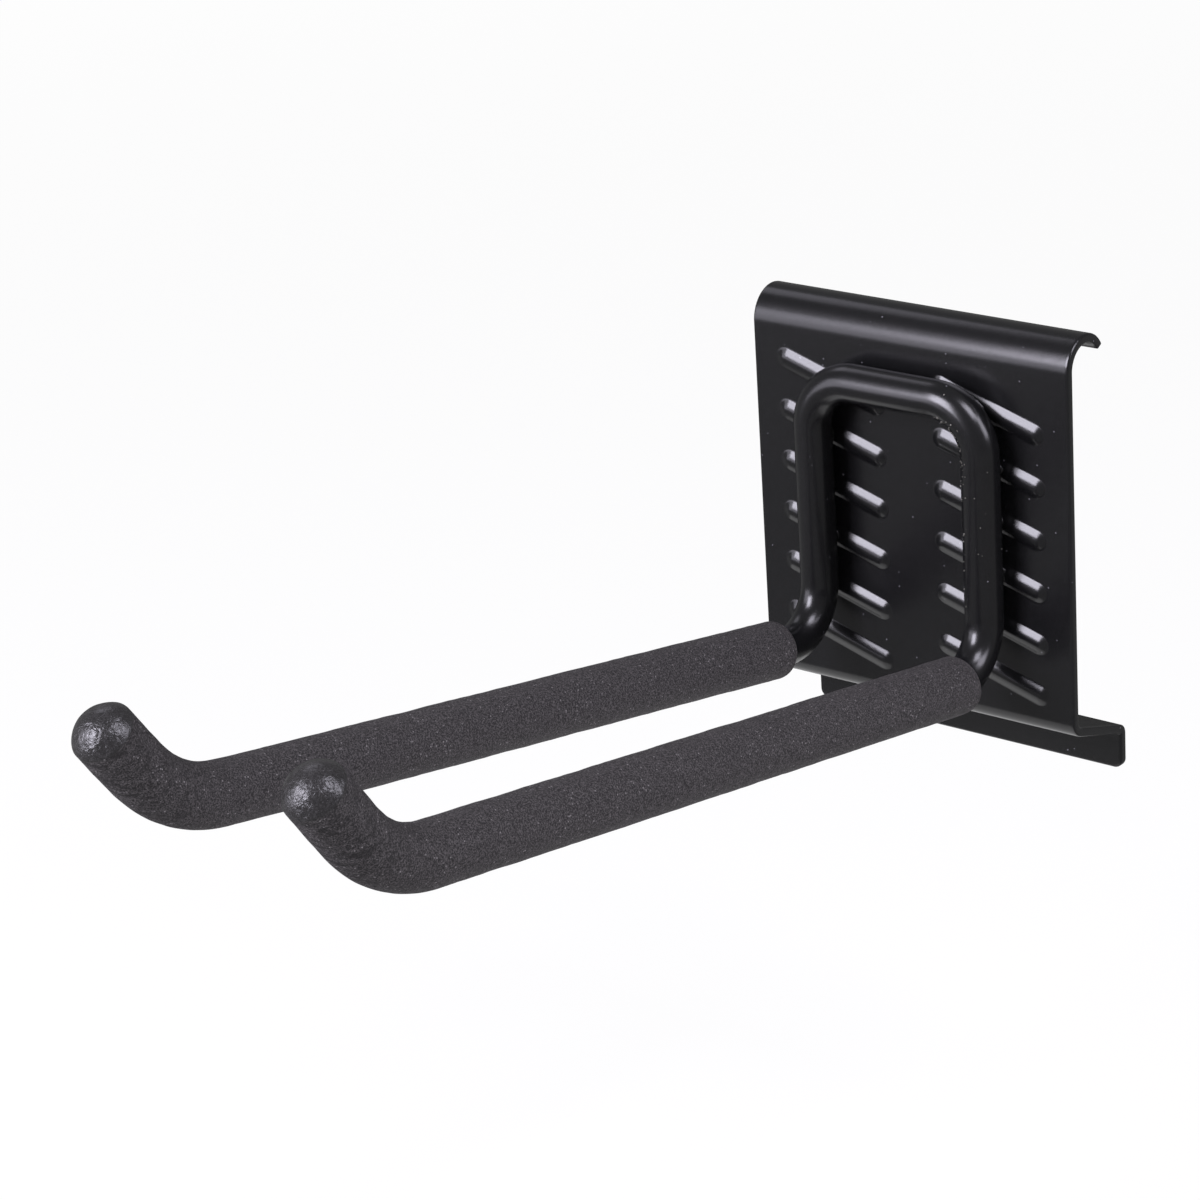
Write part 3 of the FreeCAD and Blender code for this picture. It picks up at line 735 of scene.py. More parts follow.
def make_piece(
    name: str,
    patches: list[np.ndarray],
    materials: list[bpy.types.Material],
    marks: dict[str, list[np.ndarray]] | None = None,
    second_rows: int = 0,
) -> bpy.types.Object:
    """Turn grids of points into one closed, smooth object on the root body.

    Seams and poles are closed by merging points that coincide, and faces are then
    pointed outwards.

    Args:
        name: the piece's name.
        patches: grids of points in millimetres, rows by columns by 3.
        materials: the piece's one or two finishes.
        marks: named values for each grid's points, kept as mesh attributes.
        second_rows: rows at the start of the first grid that have the second finish.

    Returns:
        The new object.
    """
    parts, first = [], 0
    for patch in patches:
        rows, columns = patch.shape[:2]
        parts.append(grid_faces(rows, columns, first))
        first += rows * columns
    faces = np.concatenate(parts)
    points = np.concatenate([patch.reshape(-1, 3) for patch in patches]) * METRE
    mesh = bpy.data.meshes.new(name)
    mesh.vertices.add(len(points))
    mesh.vertices.foreach_set("co", points.astype(np.float32).ravel())
    mesh.loops.add(faces.size)
    mesh.loops.foreach_set("vertex_index", faces.astype(np.int32).ravel())
    mesh.polygons.add(len(faces))
    mesh.polygons.foreach_set("loop_start", np.arange(0, faces.size, 4, dtype=np.int32))
    mesh.update(calc_edges=True)
    for mark, values in (marks or {}).items():
        attribute = mesh.attributes.new(mark, "FLOAT", "POINT")
        flat = np.concatenate([value.ravel() for value in values])
        attribute.data.foreach_set("value", flat.astype(np.float32))
    finish = np.zeros(len(faces), dtype=np.int32)
    finish[: second_rows * (patches[0].shape[1] - 1)] = 1
    mesh.polygons.foreach_set("material_index", finish)
    form = bmesh.new()
    form.from_mesh(mesh)
    bmesh.ops.remove_doubles(form, verts=form.verts, dist=1e-7)
    bmesh.ops.recalc_face_normals(form, faces=form.faces)
    form.to_mesh(mesh)
    form.free()
    mesh.shade_smooth()
    for material in materials:
        mesh.materials.append(material)
    piece = add_object(name, mesh)
    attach(piece, "root")
    return piece


def eased(start: float, end: float, steps: int) -> np.ndarray:
    """Values from start to end that crowd towards the start, by 1 - cos."""
    return start + (end - start) * (1 - np.cos(np.linspace(0, math.pi / 2, steps + 1)))


# Sub-assemblies


@dataclass
class BackPlate:
    """Stamped sheet, folded into flange, shelf and face, with a rolled lip on top."""

    low: Vector
    high: Vector
    sheet: float = 1.9
    standoff: float = 17.5
    flange_corner: float = 1.9
    rear_bend: float = 0.4
    front_bend: float = 1.9
    shelf_slope: float = 18.0
    roll_radius: float = 6.7
    roll_wrap: float = 150.0
    edge_round: float = 0.4
    bead_length: float = 27.6
    bead_width: float = 4.6
    bead_height: float = 0.8
    bead_fullness: float = 1.4
    bead_slope: float = 16.6
    bead_pitch: float = 11.1
    bead_rows: int = 6
    bead_drop: float = 16.7
    column_spacing: float = 38.1
    hollow_half_width: float = 1.5
    # The grid: rows beside a bead's middle line; columns, counted from a bead's middle,
    # up to its plain part's end, from its end zone's start, and past its end.
    flank_rows: tuple[float, ...] = (
        0.0, 0.4, 0.8, 1.15, 1.5, 1.75, 1.93, 2.05, 2.17, 2.3, 2.65, 3.2
    )
    plain_end: float = 9.5
    zone_start: float = 10.2
    past_end: float = 0.4
    slant_past_end: float = 0.2
    level_margin: float = 0.6

    def __post_init__(self) -> None:
        """Work out the sheet's middle line, from the flange's foot to the lip."""
        half = self.sheet / 2
        self.half_width = self.high.x
        self.first_bead = self.high.z - self.bead_drop
        slope = math.radians(self.shelf_slope)
        rear, front = self.rear_bend + half, self.front_bend + half
        roll = self.roll_radius - half
        reach = self.standoff - (rear + front) * (1 - math.sin(slope))
        shelf = reach / math.cos(slope)
        turn = 90 - self.shelf_slope
        rise = (rear + front) * math.cos(slope) + shelf * math.sin(slope)
        face_foot = -self.low.z + rise
        moves = [
            Move(length=-2 * self.low.z),
            Move(radius=rear, degrees=turn),
            Move(length=shelf),
            Move(radius=front, degrees=-turn),
            Move(length=self.high.z - self.roll_radius - face_foot),
            Move(radius=roll, degrees=-self.roll_wrap),
        ]
        self.line = BentLine(np.array([0.0, -half, self.low.z]), Z_AXIS, moves)
        self.face_foot = face_foot
        self.face_top = self.high.z - self.roll_radius

    def bead_rows_at(self) -> np.ndarray:
        """Heights of the beads' middles."""
        return self.first_bead - self.bead_pitch * np.arange(self.bead_rows)

    def rows(self) -> np.ndarray:
        """Runs of the grid's rows, close together on bends, edges and bead flanks.

        Returns:
            Runs along the middle line, in order.
        """
        marks = self.line.marks
        edge = eased(0, self.edge_round, 4)
        flank = np.array(self.flank_rows) / math.cos(math.radians(self.bead_slope))
        beads = self.bead_rows_at()[:, None] + np.concatenate([-flank, flank])[None, :]
        beads = marks[4] + beads.ravel() - self.face_foot
        runs = [
            edge,
            eased(0, self.flange_corner, 8),
            np.linspace(self.flange_corner, marks[1], 5),
            np.linspace(marks[1], marks[2], 13),
            np.linspace(marks[2], marks[3], 9),
            np.linspace(marks[3], marks[4], 19),
            beads,
            np.linspace(marks[4], beads.min(), 5),
            np.linspace(beads.max(), marks[5], 6),
            np.linspace(marks[5], marks[6], 49),
            marks[6] - edge,
        ]
        return np.unique(np.concatenate(runs).round(4))

    def columns(self) -> np.ndarray:
        """Places of the grid's columns across the plate, close together at bead ends.

        Returns:
            Values of x, in order.
        """
        edge = self.half_width - eased(0, self.edge_round, 4)
        end, middle = self.bead_length / 2, self.column_spacing / 2
        beside = [
            np.linspace(0, self.plain_end, 5),
            np.linspace(self.zone_start, end, 15),
            np.linspace(end + self.past_end, middle, 7),
        ]
        beside = np.concatenate(beside)
        across = np.concatenate([middle + beside, middle - beside])
        across = across[across < self.half_width - self.edge_round]
        across = np.concatenate([across, edge])
        return np.unique(np.concatenate([across, -across]).round(4))

    def slant(self, across: np.ndarray) -> np.ndarray:
        """Drop of the grid's rows that makes them run along the beads.

        Formula: -tan(slope) times the distance from the column's middle, let back to
        nothing between the beads' ends and the column's border.

        Args:
            across: x of the grid's points.

        Returns:
            What is added to z at each point.
        """
        middle = np.where(across > 0, 1, -1) * self.column_spacing / 2
        beside = across - middle
        free = self.bead_length / 2 + self.slant_past_end
        border = self.column_spacing / 2
        back = np.clip((border - np.abs(beside)) / (border - free), 0, 1)
        return -math.tan(math.radians(self.bead_slope)) * beside * back * back * (3 - 2 * back)

    def from_bead(self, across: np.ndarray, height: np.ndarray) -> np.ndarray:
        """Distance of points on the face from the nearest bead's middle line.

        Formula: the point is turned level with the bead; what it lies past the line's end
        and what it lies aside give the distance by Pythagoras.

        Args:
            across: x of the points.
            height: z of the points.

        Returns:
            One distance for each point.
        """
        slope = math.radians(self.bead_slope)
        half_run = (self.bead_length - self.bead_width) / 2
        nearest = np.full(across.shape, np.inf)
        for side in (-1, 1):
            for middle in self.bead_rows_at():
                x = across - side * self.column_spacing / 2
                z = height - middle
                along = x * math.cos(slope) - z * math.sin(slope)
                aside = x * math.sin(slope) + z * math.cos(slope)
                past = np.maximum(np.abs(along) - half_run, 0)
                nearest = np.minimum(nearest, np.hypot(past, aside))
        return nearest

    def raised(self, distance: np.ndarray) -> np.ndarray:
        """Height of a bead: full height times (1 - s^2)^fullness at share s of its half width."""
        share = np.clip(distance / (self.bead_width / 2), 0, 1)
        return self.bead_height * (1 - share**2) ** self.bead_fullness

    def hollowed(self, distance: np.ndarray) -> np.ndarray:
        """Depth of the hollow behind a bead: half a cosine wave across it."""
        share = np.clip(distance / self.hollow_half_width, 0, 1)
        return self.bead_height * (1 + np.cos(math.pi * share)) / 2

    def patches(self) -> list[np.ndarray]:
        """Grids of the sheet's two faces and of the narrow band round its outline.

        Formula: middle line at the row's run, plus x across, plus or minus half the
        thickness along the sheet's normal. Near the outline the thickness falls by the
        quarter circle of the edge's rounding.

        Returns:
            Front, back and the four bands that join them.
        """
        run, across = self.rows(), self.columns()
        middle, heading = self.line.at(run)
        normal = np.cross(X_AXIS, heading)
        corner = np.clip(self.flange_corner - run, 0, self.flange_corner)
        narrow = self.flange_corner - np.sqrt(self.flange_corner**2 - corner**2)
        share = across / self.half_width
        x = (self.half_width - narrow)[:, None] * share[None, :]

        from_side = self.half_width - np.abs(x)
        from_foot = np.broadcast_to(run[:, None], x.shape)
        from_lip = self.line.marks[-1] - from_foot
        inset = np.hypot(self.flange_corner - from_side, self.flange_corner - from_foot)
        in_corner = (from_side < self.flange_corner) & (from_foot < self.flange_corner)
        edge = np.where(in_corner, self.flange_corner - inset, np.minimum(from_side, from_foot))
        edge = np.clip(np.minimum(edge, from_lip), 0, self.edge_round)
        thinner = self.edge_round - np.sqrt(self.edge_round**2 - (self.edge_round - edge) ** 2)

        bead_runs = self.bead_rows_at() - self.face_foot + self.line.marks[4]
        margin = self.level_margin * self.bead_width
        below = (run - self.line.marks[4]) / (bead_runs.min() - margin - self.line.marks[4])
        above = (self.line.marks[5] - run) / (self.line.marks[5] - bead_runs.max() - margin)
        hold = np.clip(np.minimum(below, above), 0, 1)
        z_shift = hold[:, None] * self.slant(x)
        points = np.empty((*x.shape, 3))
        points[..., 0] = x
        points[..., 1] = middle[:, 1:2]
        points[..., 2] = middle[:, 2:3] + z_shift

        on_face = (hold > 0)[:, None] & (np.abs(x) < self.half_width)
        distance = np.where(on_face, self.from_bead(x, points[..., 2]), np.inf)
        thick = (self.sheet / 2 - thinner)[..., None]
        front = points + normal[:, None] * (thick + self.raised(distance)[..., None])
        back = points - normal[:, None] * (thick - self.hollowed(distance)[..., None])
        bands = [
            np.stack([front[place], back[place]])
            for place in ((0, slice(None)), (-1, slice(None)), (slice(None), 0), (slice(None), -1))
        ]
        return [front, back, *bands]

    def build(self, material: bpy.types.Material) -> bpy.types.Object:
        """Make the plate that stands for its CAD node.

        Args:
            material: its finish.

        Returns:
            The new object.
        """
        piece = make_piece("stamped_back_plate", self.patches(), [material])
        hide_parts("back_plate")
        return piece


@dataclass
class HookRod:
    """Round bar, bent into a loop on the plate and two arms with upturned tips."""

    depth: float
    top: float
    radius: float = 3.97
    leg_spacing: float = 40.8
    loop_corner: float = 10.5
    leg_foot: float = 34.3
    root_bend: float = 10.95
    arm_rise: float = 9.9
    arm_toe: float = 1.25
    arm_straight: float = 161.3
    tip_bend: float = 29.7
    tip_rise: float = 54.1
    tip_straight: float = 12.4
    rod_end: float = 1.0
    sides: int = 56
    # Rings on each stretch of the half line.
    steps: tuple[int, ...] = (4, 32, 12, 32, 24, 12, 3)

    def half_line(self) -> BentLine:
        """The right half of the rod's line, from the middle of the top bar to its end.

        Returns:
            The line.
        """
        toe = math.radians(self.arm_toe)
        forward = np.array([math.sin(toe), -math.cos(toe), 0.0])
        hinge = tuple(np.cross(-Z_AXIS, forward))
        level = self.leg_spacing / 2 - self.loop_corner
        moves = [
            Move(length=level),
            Move(radius=self.loop_corner, degrees=90, axis=(0.0, 1.0, 0.0)),
            Move(length=self.top - self.loop_corner - self.leg_foot),
            Move(radius=self.root_bend, degrees=90 + self.arm_rise, axis=hinge),
            Move(length=self.arm_straight),
            Move(radius=self.tip_bend, degrees=self.tip_rise - self.arm_rise, axis=hinge),
            Move(length=self.tip_straight + self.rod_end),
        ]
        return BentLine(np.array([0.0, -self.depth, self.top]), X_AXIS, moves)

    def rings(self) -> tuple[np.ndarray, np.ndarray]:
        """Lay rings along the whole rod, left end to right.

        Returns:
            Centres and directions of the rings.
        """
        line = self.half_line()
        marks = line.marks
        runs = [np.linspace(marks[i], marks[i + 1], n + 1) for i, n in enumerate(self.steps)]
        run = np.unique(np.concatenate(runs).round(5))
        centres, headings = line.at(run)
        left = (centres * MIRROR)[:0:-1]
        left_headings = (-headings * MIRROR)[:0:-1]
        return np.concatenate([left, centres]), np.concatenate([left_headings, headings])

    def build(self, material: bpy.types.Material) -> bpy.types.Object:
        """Make the rod that stands for its CAD node, with flat sawn ends.

        Formula: centre + radius x spoke for each ring; the first and last ring have no
        radius and close the ends.

        Args:
            material: its finish.

        Returns:
            The new object.
        """
        centres, headings = self.rings()
        centres = np.concatenate([centres[:1], centres, centres[-1:]])
        headings = np.concatenate([headings[:1], headings, headings[-1:]])
        radii = np.full(len(centres), self.radius)
        radii[[0, -1]] = 0
        spokes = spokes_round(headings, self.sides)
        grid = centres[:, None] + radii[:, None, None] * spokes
        piece = make_piece("bent_hook_rod", [grid], [material])
        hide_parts("hook_rod")
        return piece


@dataclass
class Welds:
    """Projection welds where the rod was pressed onto the beads, and their spatter.

    Collars lie where the legs cross beads, and seats at two places under the top bar.
    Angles of drops are in degrees, from the inner side of the bend to the front.
    """

    plate: BackPlate
    rod: HookRod
    collar: tuple[float, float, float] = (2.7, 0.75, 1.7)
    collar_sink: float = 0.4
    seat: tuple[float, float, float] = (3.0, 0.7, 1.2)
    seats: tuple[float, float] = (-17.15, 15.6)
    seat_rise: float = 0.6
    ripple: float = 0.22
    ripple_wave: float = 0.7
    rows: int = 14
    columns: int = 28
    drops: int = 70
    drop_radius: float = 0.19
    drop_sizes: tuple[float, float] = (0.35, 1.0)
    drop_smallness: float = 1.5
    drop_rows: int = 7
    drop_columns: int = 11
    thickest_at: float = 9.0
    inner_share: float = 0.8
    inner_turn: tuple[float, float] = (57.0, 8.0)
    other_turn: tuple[float, float] = (60.0, 215.0)
    seed: int = 11

    def lump(
        self,
        centre: np.ndarray,
        axes: np.ndarray,
        slope: float,
        ripple: float,
        rows: int,
        columns: int,
    ) -> np.ndarray:
        """Closed grid of one lump of weld metal.

        Formula: centre + (a cos(u) cos(v), b cos(u) sin(v), c sin(u)), with the radius
        swelled by a soft noise, turned in the plate's plane by the slope.

        Args:
            centre: its middle.
            axes: half lengths along x, y and z before the turn.
            slope: fall towards +x in radians.
            ripple: share by which the noise moves the surface.
            rows: grid rows from pole to pole.
            columns: grid columns round it.

        Returns:
            A grid of points.
        """
        u = np.linspace(-math.pi / 2, math.pi / 2, rows)[:, None]
        v = np.linspace(0, 2 * math.pi, columns)[None, :]
        height = np.sin(u) * np.ones_like(v)
        ball = np.stack([np.cos(u) * np.cos(v), np.cos(u) * np.sin(v), height], axis=-1)
        swell = ripple * soft_noise(ball + centre, self.ripple_wave, self.seed)
        grid = ball * (1 + swell[..., None]) * axes
        x = grid[..., 0] * math.cos(slope) + grid[..., 2] * math.sin(slope)
        z = grid[..., 2] * math.cos(slope) - grid[..., 0] * math.sin(slope)
        return centre + np.stack([x, grid[..., 1], z], axis=-1)

    def on_bead(self, place: np.ndarray, size: tuple[float, float, float]) -> np.ndarray:
        """One rippled lump that lies along a bead."""
        slope = math.radians(self.plate.bead_slope)
        return self.lump(place, np.array(size), slope, self.ripple, self.rows, self.columns)

    def collars(self) -> list[np.ndarray]:
        """Lay lumps round each place where the rod rests on a bead.

        Returns:
            A grid of points for each lump.
        """
        slope = math.radians(self.plate.bead_slope)
        crown = -self.plate.standoff - self.plate.sheet - self.plate.bead_height
        leg = self.rod.leg_spacing / 2
        middle = self.plate.column_spacing / 2
        level = self.rod.top - self.rod.loop_corner
        lumps = []
        for side in Side:
            heights = self.plate.bead_rows_at() - side.value * math.tan(slope) * (leg - middle)
            for height in heights[(heights < level) & (heights > self.rod.leg_foot)]:
                depth = crown + self.collar[1] * self.collar_sink
                place = np.array([side.value * leg, depth, height])
                lumps.append(self.on_bead(place, self.collar))
        for x in self.seats:
            column = math.copysign(middle, x)
            height = self.plate.bead_rows_at()[0] - math.tan(slope) * (x - column)
            place = np.array([x, crown, height + self.seat_rise])
            lumps.append(self.on_bead(place, self.seat))
        return lumps

    def spatter(self) -> list[np.ndarray]:
        """Throw small drops on the rod, thickest on the inner flank of the right corner.

        Returns:
            A grid of points for each drop.
        """
        chance = np.random.default_rng(self.seed)
        line = self.rod.half_line()
        corner = line.marks[1]
        run = chance.triangular(corner, corner + self.thickest_at, line.marks[3], self.drops)
        centres, headings = line.at(run)
        inward = np.cross(Y_AXIS, headings)
        inner = chance.random(self.drops) < self.inner_share
        on_flank = chance.normal(*self.inner_turn, self.drops)
        elsewhere = chance.uniform(*self.other_turn, self.drops)
        turn = np.radians(np.where(inner, on_flank, elsewhere))
        spokes = inward * np.cos(turn)[:, None] - Y_AXIS * np.sin(turn)[:, None]
        places = centres + self.rod.radius * spokes
        shares = chance.uniform(*self.drop_sizes, self.drops) ** self.drop_smallness
        return [
            self.lump(place, np.full(3, radius), 0.0, 0.0, self.drop_rows, self.drop_columns)
            for place, radius in zip(places, self.drop_radius * shares)
        ]

    def build(
        self, coat: bpy.types.Material, steel: bpy.types.Material
    ) -> list[bpy.types.Object]:
        """Make the weld lumps and the drops of spatter.

        Args:
            coat: finish of the lumps.
            steel: finish of the drops.

        Returns:
            The two new objects.
        """
        return [
            make_piece("projection_weld_collars", self.collars(), [coat]),
            make_piece("weld_spatter_drops", self.spatter(), [steel]),
        ]


@dataclass
class FoamSleeve:
    """Foam tube over one arm, open at the root bend and domed at the tip.

    It may start later than usual at the root, or end sooner at the tip.
    """

    side: Side
    rod: HookRod
    radius: float = 6.0
    bore: float = 4.02
    reach: float = 14.0
    rim: float = 1.4
    dome_height: float = 4.0
    dome_round: float = 1.2
    end_wall: float = 3.0
    ring_step: float = 0.5
    sides: int = 112
    swell: float = 0.07
    swell_wave: float = 7.0
    swell_seed: int = 3
    dimple: float = 0.04
    dimple_wave: float = 1.9
    dimple_seed: int = 9
    # Crease amounts: they set both the crease bump and the painted shade in its valleys.
    plain_crease: float = 0.16
    tip_crease: float = 0.35
    flank_crease: float = 0.5
    formed_edge: float = 0.8
    cap_rings: int = 24
    shoulder_rings: int = 12
    rim_rings: int = 9
    bore_rings: int = 120
    shorter: float = 0.0
    tip_cut: float = 0.0

    @property
    def dome_rows(self) -> int:
        """Rows of faces on the dome, from its pole to its foot."""
        return self.cap_rings + self.shoulder_rings

    def profile(self, start: float, end: float) -> tuple[np.ndarray, np.ndarray, np.ndarray]:
        """Run, radius and tilt of each ring, from the dome's pole back to the bore's end.

        Formula: cap circle, shoulder circle, the tube's own radius, the rim's quarter
        circle and then the bore's radius back to a flat end. The tilt is the angle from
        the arm's direction to the skin's normal, and not a number inside the bore.

        Args:
            start: run at which the open end lies.
            end: run at the foot of the dome.

        Returns:
            Runs, radii and tilts.
        """
        flat = self.radius - self.dome_round
        cap = (flat**2 + self.dome_height**2 - self.dome_round**2) / (
            2 * (self.dome_height - self.dome_round)
        )
        opening = math.atan2(flat, cap - self.dome_height)
        over_cap = np.linspace(0, opening, self.cap_rings + 1)
        over_shoulder = np.linspace(opening, math.pi / 2, self.shoulder_rings + 1)[1:]
        over_rim = np.linspace(0, math.pi / 2, self.rim_rings + 1)[1:]
        tube_rings = int((end - start - self.rim) / self.ring_step)
        tube = np.linspace(end, start + self.rim, tube_rings)[1:]
        bore_end = end + self.tip_cut + self.dome_height - self.end_wall
        bore = np.linspace(start, bore_end, self.bore_rings)
        bore = np.concatenate([bore, bore[-1:]])
        bore_radius = np.full(len(bore), self.bore)
        bore_radius[-1] = 0
        run = [
            end + self.dome_height - cap + cap * np.cos(over_cap),
            end + self.dome_round * np.cos(over_shoulder),
            tube,
            start + self.rim * (1 - np.sin(over_rim)),
            bore,
        ]
        radius = [
            cap * np.sin(over_cap),
            flat + self.dome_round * np.sin(over_shoulder),
            np.full(len(tube), self.radius),
            self.radius - self.rim * (1 - np.cos(over_rim)),
            bore_radius,
        ]
        tilt = [
            over_cap,
            over_shoulder,
            np.full(len(tube), math.pi / 2),
            math.pi / 2 + over_rim,
            np.full(len(bore), math.nan),
        ]
        return np.concatenate(run), np.concatenate(radius), np.concatenate(tilt)

    def grid(self) -> tuple[np.ndarray, dict[str, list[np.ndarray]]]:
        """Points of the sleeve, how formed and creased its skin is, and the run in metres.

        Formula: centre + radius x spoke for each ring. The skin is then moved along its
        own normal by two soft noises, so that it swells and dimples as foam does. Creases
        gather on the tip, most on the bend's outer flank; the crease mask also sets how much
        painted shade darkens their valleys.

        Returns:
            A grid of points, and the marks of that grid by name.
        """
        line = self.rod.half_line()
        start = line.marks[4] - self.rod.root_bend * math.radians(self.reach) + self.shorter
        end = line.marks[6] + self.rod.tip_straight - self.tip_cut
        run, radius, tilt = self.profile(start, end)
        centres, headings = line.at(run)
        spokes = spokes_round(headings, self.sides)
        if self.side is Side.LEFT:
            centres, headings, spokes = centres * MIRROR, headings * MIRROR, spokes * MIRROR
        rings = centres[:, None] + radius[:, None, None] * spokes

        skin = ~np.isnan(tilt)
        tilt = np.where(skin, tilt, 0)[:, None, None]
        normal = np.cos(tilt) * headings[:, None] + np.sin(tilt) * spokes
        seed = self.side.value
        swell = self.swell * soft_noise(rings, self.swell_wave, self.swell_seed + seed)
        dimple = self.dimple * soft_noise(rings, self.dimple_wave, self.dimple_seed + seed)
        rings = rings + (skin[:, None] * (swell + dimple))[..., None] * normal

        near_tip = np.clip((run - line.marks[5]) / (line.marks[6] - line.marks[5]), 0, 1)
        outer = np.clip(0.5 - spokes[..., 2], 0, 1)
        formed = np.clip((run - end + self.formed_edge) / (2 * self.formed_edge), 0, 1)
        # Crease mask: it drives the crease bump and the painted shade in the crease valleys.
        on_tip = self.tip_crease + self.flank_crease * outer
        creases_and_painted_shade = self.plain_crease + near_tip[:, None] * on_tip
        marks = {
            "formed": [np.broadcast_to(formed[:, None], outer.shape)],
            "creases_and_painted_shade": [creases_and_painted_shade],
            "along": [np.broadcast_to(run[:, None] * METRE, outer.shape)],
        }
        return rings, marks

    def build(
        self, tube: bpy.types.Material, closed_end: bpy.types.Material
    ) -> bpy.types.Object:
        """Make the sleeve that stands for its CAD node.

        Args:
            tube: finish of the extruded tube.
            closed_end: finish of the hot-formed dome.

        Returns:
            The new object.
        """
        name = self.side.name.lower()
        grid, marks = self.grid()
        piece = make_piece(
            f"foam_grip_{name}", [grid], [tube, closed_end], marks, self.dome_rows
        )
        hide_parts(f"foam_sleeve_{name}")
        return piece


# Stage


@dataclass
class Lamp:
    """A soft box: a flat, slightly cool area lamp that looks at the object.

    The azimuth runs from straight in front towards -x. A brightness of 1 is white.
    """

    name: str
    azimuth: float
    elevation: float
    width: float
    height: float
    brightness: float
    colour: str = "#f3f0ff"
    distance: float = 1150.0
    target: tuple[float, float, float] = (0.0, -60.0, 45.0)

    def build(self) -> bpy.types.Object:
        """Hang the lamp and turn it to its target.

        Its power is four times its area times its brightness.

        Returns:
            The new object.
        """
        azimuth, elevation = math.radians(self.azimuth), math.radians(self.elevation)
        level = math.cos(elevation)
        ray = Vector((-math.sin(azimuth) * level, -math.cos(azimuth) * level, math.sin(elevation)))
        light = bpy.data.lights.new(self.name, "AREA")
        light.shape = "RECTANGLE"
        light.size, light.size_y = self.width * METRE, self.height * METRE
        light.energy = 4 * light.size * light.size_y * self.brightness
        light.color = linear(self.colour)[:3]
        lamp = add_object(self.name, light)
        lamp.location = (Vector(self.target) + ray * self.distance) * METRE
        lamp.rotation_euler = ray.to_track_quat("Z", "Y").to_euler()
        return lamp


